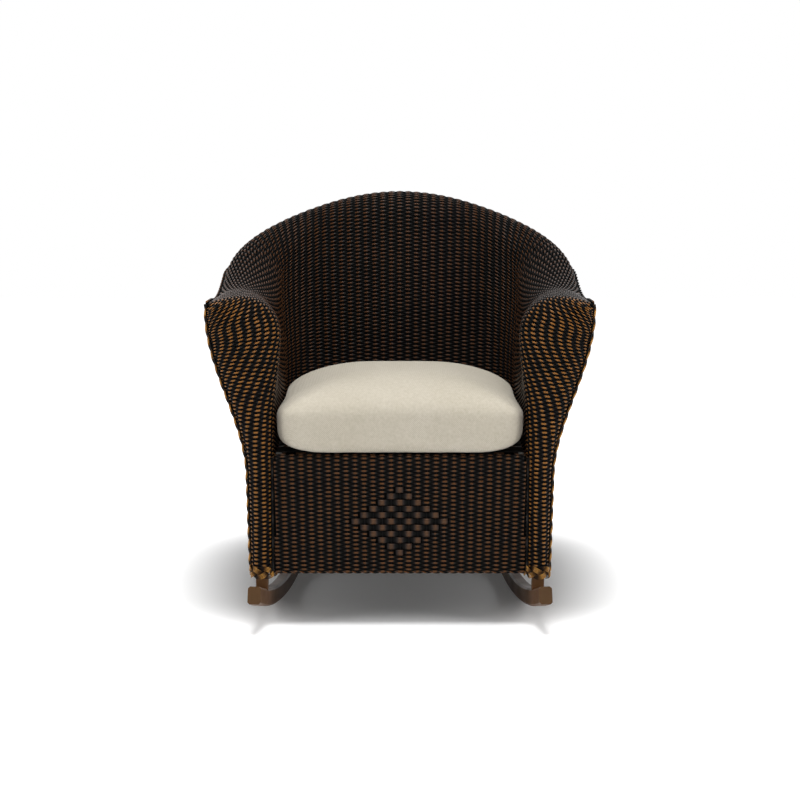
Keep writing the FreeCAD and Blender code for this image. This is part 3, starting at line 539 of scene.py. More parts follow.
def weaveTree():
    # strands side by side, each over one stake and under the next
    tree, given = newTree(
        "layWeave", "Guide", ("First Row", "Row Count", "Steps", "Sides", "Figure"),
        ("Back Rows", "Arm Rows", "First Stake", "Last Stake", "Fade Start", "Fade End",
         "Strand Height", "Strand Depth", "Wave", "Sink", "UV Wide", "Figure Row",
         "Figure Size", "Block Rows"))
    backRows, armRows = given["Back Rows"], given["Arm Rows"]
    ends = [addNode(tree, "ShaderNodeCombineXYZ", X=given[name])
            for name in ("First Stake", "Last Stake")]
    points = (given["Last Stake"] - given["First Stake"]) * given["Steps"] + 1
    start = addNode(tree, "ShaderNodeCombineXYZ", Y=given["First Row"])
    field = copiesInLine(straightTube(*ends, points, given["Sides"]), given["Row Count"], start,
                         (0, 1, 0), "row")

    # what each point is: stake number, row number, and its place in the strand's outline
    place = addNode(tree, "GeometryNodeInputPosition")
    place = addNode(tree, "ShaderNodeSeparateXYZ", Vector=place)
    row = addNode(tree, "GeometryNodeInputNamedAttribute", Name="row") + given["First Row"]
    stake, across, deep = place["X"], place["Y"] - row, place["Z"]

    # the back is taller than the arms, so pairs of rows run out in the wings
    pairs = (backRows - armRows) * 0.5
    uneven = pairs.reckon("GREATER_THAN", 0.5)
    cycle = backRows / pairs.reckon("MAXIMUM", 0.01)
    before = (row / cycle).reckon("FLOOR")
    inCycle = row - (cycle * before).reckon("CEIL")
    short = inCycle.reckon("LESS_THAN", 1.5) * uneven
    skipped = before * 2 + inCycle.reckon("MINIMUM", 2)
    armRow = row - skipped * uneven
    fade = addNode(tree, "ShaderNodeMapRange", softEnds, Value=stake.reckon("ABSOLUTE"),
                   i1=given["Fade Start"], i2=given["Fade End"])
    keep = 1 - short * fade
    half = addNode(tree, "ShaderNodeMix", i0=fade, i2=0.5 / backRows, i3=0.5 / armRows) * keep
    share = addNode(tree, "ShaderNodeMix", i0=fade, i2=(row + 0.5) / backRows,
                    i3=(armRow + 0.5) / armRows)
    share = share + across * given["Strand Height"] * half

    # over one stake, under the next, the other way round in the next row
    phase = (stake + row) * pi
    crest, lean = phase.reckon("COSINE"), phase.reckon("SINE")
    depth = deep * (given["Strand Depth"] * keep) + crest * (given["Wave"] * keep)

    # a figure of blocks: 1 leaves its cells free, 2 fills nothing but them
    block = ((row + 0.5) / given["Block Rows"] - 0.5).reckon("ROUND")
    fromMiddle = ((block - given["Figure Row"]).reckon("ABSOLUTE")
                  + stake.reckon("ROUND").reckon("ABSOLUTE"))
    inside = fromMiddle.reckon("LESS_THAN", given["Figure Size"] + 0.5)
    wanted = given["Figure"].reckon("COMPARE", 2, 0.1)
    dropped = ((inside - wanted).reckon("ABSOLUTE")
               * given["Figure"].reckon("GREATER_THAN", 0.5))
    gone = keep.reckon("LESS_THAN", 0.04).reckon("MAXIMUM", dropped)
    for name, value in (("crest", crest), ("lean", lean)):
        field = addNode(tree, "GeometryNodeStoreNamedAttribute", Geometry=field, Name=name,
                        Value=value)
    return layOnGuide(field, given, stake, share, depth - given["Sink"], gone)


def stakeTree(apart=4):
    # round upright rods that the strands pass over and under, laid out well apart at first
    tree, given = newTree("layStakes", "Guide", ("Stake Count", "Points", "Sides"),
                          ("First Stake", "Width", "Depth", "Sink", "UV Wide"))
    ends = [addNode(tree, "ShaderNodeCombineXYZ", Y=level) for level in (0.0, 1.0)]
    start = addNode(tree, "ShaderNodeCombineXYZ", X=given["First Stake"] * apart)
    field = copiesInLine(straightTube(*ends, given["Points"], given["Sides"]),
                         given["Stake Count"], start, (apart, 0, 0), "stake")
    place = addNode(tree, "GeometryNodeInputPosition")
    place = addNode(tree, "ShaderNodeSeparateXYZ", Vector=place)
    number = addNode(tree, "GeometryNodeInputNamedAttribute", Name="stake")
    number = number + given["First Stake"]
    across = (place["X"] - number * apart) * given["Width"] + number
    up = place["Y"].reckon("MAXIMUM", 0.0005).reckon("MINIMUM", 0.9995)
    depth = place["Z"] * given["Depth"] - given["Sink"]
    return layOnGuide(field, given, across, up, depth, number * 0)


def braidTree():
    # cords that plait or twist about a path; the path carries its own side and lift
    tree, given = newTree("plait", "Path", ("Strands", "Cords", "Sides"),
                          ("Cord Spacing", "Half Width", "Half Depth", "Lift Waves",
                           "Lift Shift", "Period", "Radius", "Step"))
    path = addNode(tree, "GeometryNodeObjectInfo", Object=given["Path"])["Geometry"]
    line = addNode(tree, "GeometryNodeMeshToCurve", Mesh=path)
    line = addNode(tree, "GeometryNodeResampleCurve", {"mode": "LENGTH"}, Curve=line,
                   Length=given["Step"])
    line = addNode(tree, "GeometryNodeStoreNamedAttribute", Geometry=line, Name="along",
                   Value=addNode(tree, "GeometryNodeSplineParameter")["Length"])
    line = addNode(tree, "GeometryNodeStoreNamedAttribute", vectorKind, Geometry=line,
                   Name="ahead", Value=addNode(tree, "GeometryNodeInputTangent"))
    copies = addNode(tree, "GeometryNodeDuplicateElements", {"domain": "SPLINE"}, Geometry=line,
                     Amount=given["Strands"] * given["Cords"])
    line = addNode(tree, "GeometryNodeStoreNamedAttribute", Geometry=copies["Geometry"],
                   Name="copy", Value=copies["Duplicate Index"] + 0)

    # which strand and which of its cords this is, and how far along the path
    number, along = (addNode(tree, "GeometryNodeInputNamedAttribute", Name=name)
                     for name in ("copy", "along"))
    strand = (number / given["Cords"]).reckon("FLOOR")
    cord = number - strand * given["Cords"]
    cord = (cord - (given["Cords"] - 1) * 0.5) * given["Cord Spacing"]
    turn = 2 * pi / given["Period"]
    phase = strand / given["Strands"] * (2 * pi) + along * turn
    slope = phase.reckon("COSINE") * (given["Half Width"] * turn)
    cord = cord / (slope * slope + 1).reckon("SQRT")
    front = (phase * given["Lift Waves"] + given["Lift Shift"]).reckon("SINE")

    # the swing to the side, up and down, and the cords' own places across the strand
    moves = {"side": phase.reckon("SINE") * given["Half Width"] + cord,
             "lift": front * given["Half Depth"], "ahead": cord * slope * -1}
    offset = (0, 0, 0)
    for name, distance in moves.items():
        move = addNode(tree, "GeometryNodeInputNamedAttribute", vectorKind, Name=name)
        move = addNode(tree, "ShaderNodeVectorMath", {"operation": "SCALE"}, i0=move,
                       Scale=distance)
        offset = addNode(tree, "ShaderNodeVectorMath", i0=offset, i1=move)
    line = addNode(tree, "GeometryNodeSetPosition", Geometry=line, Offset=offset)
    line = addNode(tree, "GeometryNodeStoreNamedAttribute", Geometry=line, Name="crest",
                   Value=front)
    profile = addNode(tree, "GeometryNodeCurvePrimitiveCircle", i0=given["Sides"],
                      Radius=given["Radius"])
    solid = addNode(tree, "GeometryNodeCurveToMesh", Curve=line, Profile_Curve=profile,
                    Fill_Caps=True)
    return endTree(solid, given["Strand"], "along", "ahead", "copy", "side", "lift")


def grown(name, tree, values):
    # an empty mesh with the tree on it, its inputs set, then turned into a plain mesh
    host = meshObject(name + "Host", [], [], [])
    modifier = host.modifiers.new("grow", "NODES")
    modifier.node_group = tree
    sockets = {item.name: item.identifier for item in tree.interface.items_tree
               if item.in_out == "INPUT"}
    for key, value in values.items():
        modifier[sockets[key]] = value
    graph = bpy.context.evaluated_depsgraph_get()
    graph.update()
    mesh = bpy.data.meshes.new_from_object(host.evaluated_get(graph))
    host.modifiers.remove(modifier)
    bpy.data.objects.remove(host)
    mesh.name = name
    piece = bpy.data.objects.new(name, mesh)
    bpy.context.collection.objects.link(piece)
    return piece


# materials

def newMaterial(name):
    material = bpy.data.materials.new(name)
    material.use_nodes = True
    material.node_tree.nodes.clear()
    return material, material.node_tree


def shaded(material, **inputs):
    # the material with one Principled shader
    shader = addNode(material.node_tree, "ShaderNodeBsdfPrincipled", **inputs)
    addNode(shader.tree, "ShaderNodeOutputMaterial", Surface=shader)
    return material


def objectPlace(tree, scale=(1, 1, 1)):
    # the object's own coordinates, in metres, stretched by a Mapping node
    place = addNode(tree, "ShaderNodeTexCoord")["Object"]
    return addNode(tree, "ShaderNodeMapping", Vector=place, Scale=scale)


# polyethylene strand, extruded flat and two-toned: charcoal with a brown stripe that shows
# on one side of each crest, a waxy sheen and fine lines drawn along its length; painted shade
# makes it black where it dips under, and painted light makes the stripe golden on the arm fronts
strandFinish = {
    # the colour up the crest: near black low down, where the strand dips under, is painted shade
    "stops": [(0.0, "#010101"), (0.52, "#020202"), (0.66, "#0B0B0B"), (0.84, "#1B1918"),
              (1.0, "#262321")],
    "stripe": "#442A17", "bleached": "#855829", "stripeEdge": (0.80, 0.95), "lean": 0.10,
    "bleachedFrom": (-0.285, -0.335),           # where along Y the painted light on the stripe sets in
    "patchScale": 34.0, "patchShare": 0.15,     # 30 mm patches of lighter and darker strand
    "fleckScale": 300.0, "fleckShare": 0.08,    # 3 mm flecks
    "lineScale": 2200.0, "lineBump": 0.00006,   # half-millimetre draw lines
    "roughness": (0.30, 0.85), "specular": 0.12,
}


def strandMaterial(name, finish):
    material, tree = newMaterial(name)
    crest, lean = (addNode(tree, "ShaderNodeAttribute", {"attribute_name": label})["Fac"]
                   for label in ("crest", "lean"))
    place = objectPlace(tree)
    # the level follows the crest, so the ramp paints shade where the strand dips under its
    # neighbours
    level = crest * 0.5 + 0.5
    for kind, detail in (("patch", 2.0), ("fleck", 1.0)):
        share = finish[kind + "Share"]
        cloud = addNode(tree, "ShaderNodeTexNoise", Vector=place, Scale=finish[kind + "Scale"],
                        Detail=detail)
        level = level + (cloud * (share * 2) - share)
    colour = addNode(tree, "ShaderNodeValToRGB", {"stops": finish["stops"]}, Fac=level)
    if "stripe" in finish:
        # the stripe turns golden towards the arm fronts: painted light, where they catch the side
        # lamps
        litShare = addNode(tree, "ShaderNodeSeparateXYZ", Vector=place)["Y"]
        litShare = addNode(tree, "ShaderNodeMapRange", softEnds, Value=litShare,
                       i1=finish["bleachedFrom"][0], i2=finish["bleachedFrom"][1])
        stripe = addNode(tree, "ShaderNodeMix", {"data_type": "RGBA"}, i0=litShare,
                         i6=linear(finish["stripe"]), i7=linear(finish["bleached"]))[2]
        leant = lean * finish["lean"] * (1 - litShare)
        brown = addNode(tree, "ShaderNodeMapRange", softEnds, Value=level - leant,
                        i1=finish["stripeEdge"][0], i2=finish["stripeEdge"][1])
        colour = addNode(tree, "ShaderNodeMix", {"data_type": "RGBA"}, i0=brown, i6=colour,
                         i7=stripe)[2]
    lines = addNode(tree, "ShaderNodeTexNoise", Vector=objectPlace(tree, (1, 1, 8)),
                    Scale=finish["lineScale"] / 8, Detail=1.0)
    rough = addNode(tree, "ShaderNodeMapRange", Value=level, i1=0.9, i2=0.55,
                    i3=finish["roughness"][0], i4=finish["roughness"][1])
    bump = addNode(tree, "ShaderNodeBump", Height=lines, Distance=finish["lineBump"])
    return shaded(material, Base_Color=colour, Roughness=rough, Normal=bump, IOR=1.5,
                  Specular_IOR_Level=finish["specular"])


# a sprayed and baked satin powder coat or moulded plastic: cloudy, with a fine orange peel
def powderCoat(name, colour, dark, roughness=0.42):
    material, tree = newMaterial(name)
    place = objectPlace(tree)
    peel = addNode(tree, "ShaderNodeTexNoise", Vector=place, Scale=900.0, Detail=2.0)
    cloudy = addNode(tree, "ShaderNodeTexNoise", Vector=place, Scale=14.0, Detail=3.0)
    tone = addNode(tree, "ShaderNodeValToRGB", {"stops": [(0.3, dark), (0.7, colour)]},
                   Fac=cloudy)
    rough = addNode(tree, "ShaderNodeMapRange", Value=cloudy, i1=0.3, i2=0.7,
                    i3=roughness + 0.08, i4=roughness - 0.06)
    bump = addNode(tree, "ShaderNodeBump", Height=peel, Distance=0.00012)
    return shaded(material, Base_Color=tone, Roughness=rough, Normal=bump, IOR=1.5,
                  Specular_IOR_Level=0.2)


# plain-woven acrylic cloth, washed soft: matt, with slubs and a speckle of lighter threads
clothFinish = {
    "stops": [(0.25, "#ACA492"), (0.8, "#C4BDAF")],
    "thread": 0.0021,           # drawn three times as coarse as the real thread, so as to show
    "bump": 0.0005, "slubScale": 160.0, "soilScale": 7.0,
}


def clothMaterial(name, finish):
    material, tree = newMaterial(name)
    place = addNode(tree, "ShaderNodeTexCoord")["Object"]
    axes = addNode(tree, "ShaderNodeSeparateXYZ", Vector=place)
    turn = pi / finish["thread"]
    waves = [((axes[first] + axes[second]) * turn).reckon("SINE")
             for first, second in (("X", "Y"), ("Y", "Z"))]
    basket = waves[0] * waves[1] * 0.5 + 0.5
    slub = addNode(tree, "ShaderNodeTexNoise", Vector=place, Scale=finish["slubScale"],
                   Detail=3.0, Roughness=0.7)
    soil = addNode(tree, "ShaderNodeTexNoise", Vector=place, Scale=finish["soilScale"],
                   Detail=2.0)
    level = basket * 0.35 + slub * 0.75 + (soil * 0.3 - 0.15)
    colour = addNode(tree, "ShaderNodeValToRGB", {"stops": finish["stops"]}, Fac=level)
    bump = addNode(tree, "ShaderNodeBump", Height=basket + slub, Distance=finish["bump"],
                   Strength=0.6)
    return shaded(material, Base_Color=colour, Normal=bump, Roughness=0.92, Sheen_Weight=0.15,
                  Sheen_Roughness=0.5, Specular_IOR_Level=0.2)


# rubber-cored elastic webbing: two tones of flat yarn in a 4 mm twill
def webbingMaterial(name, twill=0.004):
    material, tree = newMaterial(name)
    place = addNode(tree, "ShaderNodeTexCoord")["Object"]
    axes = addNode(tree, "ShaderNodeSeparateXYZ", Vector=place)
    turn = 2 * pi / twill
    level = (((axes["X"] + axes["Y"]) * turn).reckon("SINE")
             * ((axes["X"] - axes["Y"]) * turn).reckon("SINE"))
    colour = addNode(tree, "ShaderNodeValToRGB", {"stops": [(0.2, "#1B1917"), (0.8, "#3A3631")]},
                     Fac=level * 0.5 + 0.5)
    bump = addNode(tree, "ShaderNodeBump", Height=level, Distance=0.0004)
    return shaded(material, Base_Color=colour, Normal=bump, Roughness=0.85)


# bright zinc on stamped spring steel, with a fine grain
def clipMaterial(name):
    material, tree = newMaterial(name)
    grain = addNode(tree, "ShaderNodeTexNoise", Vector=objectPlace(tree, (1, 12, 12)),
                    Scale=160.0, Detail=3.0)
    colour = addNode(tree, "ShaderNodeValToRGB", {"stops": [(0.3, "#8E8D89"), (0.7, "#B4B3AE")]},
                     Fac=grain)
    rough = addNode(tree, "ShaderNodeMapRange", Value=grain, i3=0.28, i4=0.5)
    bump = addNode(tree, "ShaderNodeBump", Height=grain, Distance=0.00008)
    return shaded(material, Base_Color=colour, Roughness=rough, Normal=bump, Metallic=1.0)


def plainStrand(name, *stops, **other):
    # strand without the brown stripe
    finish = dict(strandFinish, stops=stops, **other)
    del finish["stripe"]
    return strandMaterial(name, finish)


strand = strandMaterial("twoToneStrand", strandFinish)
# a shaded copy for the apron: its darker, even stripe is painted shade, as the apron faces away
# from the side lamps
apronStrand = strandMaterial("shadedTwoToneStrand",
                             dict(strandFinish, bleached="#54351B", lean=0.0))
# these ramps also run to black where a strand or cord dips under another: painted shade
floatStrand = plainStrand("flatFigureStrand", (0.0, "#020202"), (0.45, "#0A0908"),
                          (0.68, "#1C1817"), (0.85, "#33241A"), (1.0, "#4A3220"))
rope = plainStrand("goldenBraidStrand", (0.0, "#020202"), (0.58, "#0A0806"), (0.78, "#4A3118"),
                   (0.92, "#8F6330"), (1.0, "#B98A4C"), roughness=(0.28, 0.6))
plaitStrand = plainStrand("goldenPlaitStrand", (0.0, "#050403"), (0.45, "#1C120A"),
                          (0.78, "#5E3F1B"), (1.0, "#A87A3C"), roughness=(0.26, 0.6))
# near-black strand for the stakes, the dark cords under the braids and the apron's side rods:
# painted shade, deep in the weave and in the gaps at its edges
stakeStrand = plainStrand("charcoalStakeStrand", (0.0, "#040404"), (0.5, "#080707"),
                          (1.0, "#100E0D"))
shadeSheetStrand = plainStrand("shadowedStrand", (0.0, "#030303"), (0.5, "#050505"), (1.0, "#080707"),
                     roughness=(0.7, 0.85), specular=0.03)
coat = powderCoat("bakedPowderCoat", "#5F4024", "#4F341C")
capPlastic = powderCoat("mouldedCapPlastic", "#503820", "#45301B", 0.5)
cloth = clothMaterial("wovenAcrylicCloth", clothFinish)
webbing = webbingMaterial("elasticWebbing")
clipSteel = clipMaterial("zincedClipSteel")
print("stage: materials")


# weave pieces

weaving, staking, plaiting = weaveTree(), stakeTree(), braidTree()


def ready(piece, slot, *nodes):
    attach(piece, "chair")
    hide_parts(*nodes)
    print("made", piece.name, len(piece.data.polygons))


def weaveBand(name, guide, first, count, size, **other):
    fade = size.get("fade", (0.0, 1.0))
    return grown(name, weaving, {
        "Guide": guide, "First Row": first, "Row Count": count, "Back Rows": size["rows"],
        "Arm Rows": size.get("armRows", size["rows"]), "First Stake": -size["stakes"],
        "Last Stake": size["stakes"], "Steps": size.get("steps", 4),
        "Sides": size.get("sides", 6), "Fade Start": fade[0], "Fade End": fade[1],
        "Strand Height": weaveSizes["strandHeight"], "Strand Depth": weaveSizes["strandDepth"],
        "Wave": weaveSizes["wave"], "Sink": weaveSizes["sink"], "UV Wide": weaveSizes["uvWide"],
        "Figure": 0, "Figure Row": 0.0, "Figure Size": 0.0, "Block Rows": 1.0,
        "Strand": strand, **other})


def weaveInBands(name, guide, size, *nodes):
    # a tall weave in pieces of about as many rows each
    rows, bands = int(size["rows"]), size["bands"]
    for band in range(bands):
        first, last = (round(rows * end / bands) for end in (band, band + 1))
        ready(weaveBand(f"{name}Weave{band + 1}", guide, first, last - first, size),
              "strand_weave", *nodes)


def stakesAndShadeSheet(name, guide, size, *nodes):
    # an odd count of near-black rods, one of them in the middle, and behind the strands a thin
    # dark sheet that is painted shade
    radius = weaveSizes["stakeRadius"]
    rods = grown(name + "Stakes", staking, {
        "Guide": guide, "First Stake": -float(size["rods"] // 2), "Stake Count": size["rods"],
        "Points": size.get("rodPoints", 60), "Sides": 5, "Width": radius / size["rodPitch"],
        "Depth": radius, "Sink": weaveSizes["sink"], "UV Wide": weaveSizes["uvWide"],
        "Strand": stakeStrand})
    ready(rods, "strand_weave", *nodes)
    mesh = guide.data.copy()
    mesh.name = name + "Lining"
    mesh.materials.append(shadeSheetStrand)
    for vert in mesh.vertices:
        vert.co = vert.co - vert.normal * weaveSizes["liningSink"]
    sheet = bpy.data.objects.new(mesh.name, mesh)
    bpy.context.collection.objects.link(sheet)
    wall = sheet.modifiers.new("wall", "SOLIDIFY")
    wall.thickness = weaveSizes["liningWall"]
    wall.offset = 0
    ready(sheet, "strand_weave", *nodes)


tubWeave = {"rows": 152.0, "armRows": 98.0, "bands": 6, "stakes": 54.0, "fade": (12.0, 27.0),
            "rods": 107, "rodPitch": 0.0195}
tubNodes = ("inner_weave", "nose_weave_left", "nose_weave_right")
tubGuide = guideObject("tubGuide", tubRows())
weaveInBands("tub", tubGuide, tubWeave, *tubNodes)
stakesAndShadeSheet("tub", tubGuide, tubWeave, *tubNodes)
print("stage: tub weave")

noseWeave = {"rows": 54.0, "stakes": 46.0, "rods": 93, "rodPitch": 0.0185, "rodPoints": 16,
             "pitches": (0.0185, 0.0185)}
wallFoot = [innerColumn(station, tub["deckZ"])[0] for station in tubStations]
noseGuide = guideObject("noseGuide", lowNoseRows(), noseWeave["pitches"], runOf(wallFoot)[-1])
ready(weaveBand("lowNoseWeave", noseGuide, 0, int(noseWeave["rows"]), noseWeave),
      "strand_weave", *tubNodes[1:])
stakesAndShadeSheet("lowNose", noseGuide, noseWeave, *tubNodes[1:])
print("stage: arm fronts")

shellWeave = {"rows": 148.0, "armRows": 122.0, "bands": 4, "stakes": 52.0, "fade": (14.0, 30.0),
              "sides": 5, "steps": 3, "rods": 103, "rodPitch": 0.0195}
shellGuide = guideObject("shellGuide", shellRows(), flip=True)
weaveInBands("shell", shellGuide, shellWeave, "outer_weave")
stakesAndShadeSheet("shell", shellGuide, shellWeave, "outer_weave")
print("stage: outer shell")

apronWeave = {"rows": float(apron["rows"]), "stakes": apron["stakes"] + 1, "rods": 29,
              "rodPitch": 0.0185, "rodPoints": 30}
apronGuide = guideObject("apronGuide", apronRows(), apron["pitches"],
                         lowShare=-apron["guideBelow"] / apron["rows"])
figure = {"Figure Row": float(apron["figureRow"]), "Figure Size": float(apron["figureSize"])}
ready(weaveBand("apronWeave", apronGuide, -apron["rowsBelow"],
                apron["rows"] + apron["rowsBelow"], apronWeave,
                **{"Block Rows": float(apron["blockRows"])}, **figure, Figure=1,
                Strand=apronStrand),
      "strand_weave", "apron_weave")
blockWeave = {"rows": apron["rows"] / apron["blockRows"], "stakes": 6.0, "steps": 8}
ready(weaveBand("apronFigure", apronGuide, apron["figureRow"] - apron["figureSize"],
                2 * apron["figureSize"] + 1, blockWeave,
                **{"Strand Height": 0.93, "Strand Depth": 0.0008}, **figure, Wave=0.0022,
                Figure=2, Strand=floatStrand),
      "strand_weave", "apron_weave")
stakesAndShadeSheet("apron", apronGuide, apronWeave, "apron_weave")
for guide in (tubGuide, noseGuide, shellGuide, apronGuide):
    bpy.data.objects.remove(guide)
print("stage: apron")


# braids along the edges

twist = {"strands": 2, "cords": 1, "spacing": 0.0, "lift": 1.0, "shift": pi / 2}
braids = {
    "rim": dict(twist, offset=0.0035, period=0.039, width=0.0018, depth=0.0018, radius=0.0020),
    "nose": dict(twist, offset=0.0035, period=0.058, width=0.0020, depth=0.0020, radius=0.0021),
    "base": {"offset": -0.001, "out": 0.003, "period": 0.075, "width": 0.009,
             "depth": 0.0028, "radius": 0.00105, "strands": 3, "cords": 4, "spacing": 0.0027,
             "lift": 2.0, "shift": 0.0},
    "core": dict(twist, offset=-0.0015, period=0.05, width=0.0, depth=0.0, radius=0.0044,
                 strands=1, shift=0.0),
    "apron": dict(twist, period=0.0364, width=0.0018, depth=0.0018, radius=0.0016),
}


def directionsOf(points):
    ends = [points[0]] + points + [points[-1]]
    return [(ends[place + 2] - ends[place]).normalized() for place in range(len(points))]


def braidAlong(name, points, outs, size, material):
    # outs point away from the edge; the cords swing along them and across them
    lifts, sides = [], []
    for ahead, out in zip(directionsOf(points), outs):
        lift = (out - ahead * out.dot(ahead)).normalized()
        lifts.append(lift)
        sides.append(ahead.cross(lift).normalized())
    path = meshObject(name + "Path", points,
                      [(place, place + 1) for place in range(len(points) - 1)], [])
    storeVectors(path.data, "side", sides)
    storeVectors(path.data, "lift", lifts)
    piece = grown(name, plaiting, {
        "Path": path, "Strands": size["strands"], "Cords": size["cords"],
        "Cord Spacing": size["spacing"], "Half Width": size["width"],
        "Half Depth": size["depth"], "Lift Waves": size["lift"], "Lift Shift": size["shift"],
        "Period": size["period"], "Radius": size["radius"], "Sides": 7,
        "Step": size["period"] / 16, "Strand": material})
    bpy.data.objects.remove(path)
    return piece


def ropeAndShadeCord(rope, core, points, outs, size, material, node):
    # a rope along an edge, and under it a dark cord that fills the gap to the edge: painted
    # shade, the shadow in that gap
    ready(braidAlong(rope, points, outs, size, material), "braid", node)
    inward = braids["core"]["offset"] - size["offset"]
    points = [point + out * inward for point, out in zip(points, outs)]
    ready(braidAlong(core, points, outs, braids["core"], stakeStrand), "braid", node)


def bothHalves(half):
    # the line on both sides of its first point, which lies in the middle
    return mirrored(half[:0:-1]) + half


rimHalf, rimOuts = [], []
for station in stationList(10, 16, 20):
    angle = rollSection(station)["edgeAngle"]
    out = station[2] * sin(angle) + Vector((0, 0, cos(angle)))
    rimHalf.append(edgePoint(station) + out * braids["rim"]["offset"])
    rimOuts.append(out)
rimHalf.append(rimHalf[-1] + Vector((0, tub["noseEdgeY"] - tub["armFrontY"], 0)))
rimOuts.append(rimOuts[-1])
ropeAndShadeCord("rimRope", "rimCore", bothHalves(rimHalf), bothHalves(rimOuts), braids["rim"],
            strand, "rim_braid")

rightEdge = noseEdge(40)
rightOuts = [Vector((ahead.z, -1, -ahead.x)) for ahead in directionsOf(rightEdge)]
rightRope = [point + out * braids["nose"]["offset"] for point, out in zip(rightEdge, rightOuts)]
for name, points, outs in (("left", mirrored(rightRope), mirrored(rightOuts)),
                           ("right", rightRope, rightOuts)):
    ropeAndShadeCord("noseRope_" + name, "noseCore_" + name, points, outs, braids["nose"], rope,
                "nose_braid_" + name)

stations = stationList(4, 12, 8)
noseFoot = noseRow(0, 16)[::-1]
baseHalf = [basePoint(station) for station in stations] + noseFoot[1:]
baseOuts = [station[2] for station in stations]
baseOuts += [Vector((-ahead.y, ahead.x, 0)) for ahead in directionsOf(noseFoot)[1:]]
for place, out in enumerate(baseOuts):
    baseHalf[place] = baseHalf[place] + out.normalized() * braids["base"]["out"]
    baseHalf[place].z = tub["noseBottom"] - braids["base"]["offset"]
ready(braidAlong("basePlait", bothHalves(baseHalf), bothHalves(baseOuts), braids["base"],
                 plaitStrand), "braid", "base_braid")

hemEnd = apron["halfWidth"] - apron["hemInset"]
hemLine = [Vector((hemEnd * step / 20, apron["faceY"] + apron["hemBack"], apron["hem"]))
           for step in range(-20, 21)]
forwards = Vector((0, -1, 0))
ready(braidAlong("apronHem", hemLine, [forwards] * len(hemLine), braids["apron"], apronStrand),
      "strand_weave", "apron_weave")
# dark rods at the apron's sides, in the near-black stake strand: painted shade at the apron's
# ends
sideStake = dict(braids["core"], radius=apron["sideRadius"])
for side, name in ((-1, "left"), (1, "right")):
    points = [Vector((side * (apron["halfWidth"] + apron["sideOut"]),
                      apron["faceY"] + apron["sideBack"],
                      blend(apron["hem"], apron["top"] - apron["sideDrop"], step / 10)))
              for step in range(11)]
    ready(braidAlong("apronSide_" + name, points, [forwards] * len(points), sideStake,
                     stakeStrand), "strand_weave", "apron_weave")
print("stage: braids")


# seat cushion

cushion = {
    "halfWidth": 0.2606, "frontY": -0.352, "backY": 0.152, "height": 0.1600, "foot": 0.3615,
    "frontCorner": 0.046, "backCorner": 0.090, "drawIn": 0.003,
    "footRound": (5.0, 18.0), "crownRound": (2.3, 2.3),     # how square, across and front to back
    "dome": 0.028,                                          # how far the crown falls to the sides
    "reach": 0.992,                                         # the rings stop short of the poles
    "inset": 0.0015, "voxel": 0.006,
    "pressure": 4.0, "quality": 4, "frames": 20, "mostMove": 0.0025, "footGap": 0.0002,
}


def cushionRing(level, arcSteps=12, sideSteps=14):
    size = cushion
    shares = [(1 - abs(level) ** square) ** (1 / square)
              for square in size["crownRound" if level > 0 else "footRound"]]
    half = size["halfWidth"] * shares[0] - size["inset"]
    depth = (size["backY"] - size["frontY"]) / 2 * shares[1] - size["inset"]
    middle = (size["backY"] + size["frontY"]) / 2
    share = min(shares)
    drawIn = size["drawIn"] * share
    z = size["foot"] + size["inset"] + (size["height"] - 2 * size["inset"]) * (level + 1) / 2
    corners = []
    for turn, radius in ((-90, size["frontCorner"]), (0, size["backCorner"]),
                         (90, size["backCorner"]), (180, size["frontCorner"])):
        radius *= share
        bisector = radians(turn + 45)
        centre = Vector(((half - radius) * (1 if cos(bisector) > 0 else -1),
                         middle + (depth - radius) * (1 if sin(bisector) > 0 else -1), z))
        corners.append([centre + Vector((cos(radians(turn + 90 * step / arcSteps)),
                                         sin(radians(turn + 90 * step / arcSteps)), 0)) * radius
                        for step in range(arcSteps + 1)])
    points = []
    for corner, following in zip(corners, corners[1:] + corners[:1]):
        points += corner
        start, end = corner[-1], following[0]
        inward = Vector((-(end - start).y, (end - start).x, 0)).normalized()
        for step in range(1, sideSteps):
            part = step / sideSteps
            points.append(start.lerp(end, part) + inward * drawIn * sin(pi * part) ** 2)
    for point in points:
        point.z -= size["dome"] * max(0, level) * abs(point.x / size["halfWidth"]) ** 3
    return points


def cushionMesh(levels=28):
    # rings from the foot to the crown, closer together near both
    angles = [blend(-1, 1, step / levels) for step in range(levels + 1)]
    rings = [cushionRing((sin(angle * pi / 2) * 0.5 + angle * 0.5) * cushion["reach"])
             for angle in angles]
    count = len(rings[0])
    verts = [point for ring in rings for point in ring]
    faces = [(level * count + place, level * count + (place + 1) % count,
              (level + 1) * count + (place + 1) % count, (level + 1) * count + place)
             for level in range(levels) for place in range(count)]
    faces += [tuple(range(count))[::-1], tuple(range(levels * count, (levels + 1) * count))]
    return verts, faces


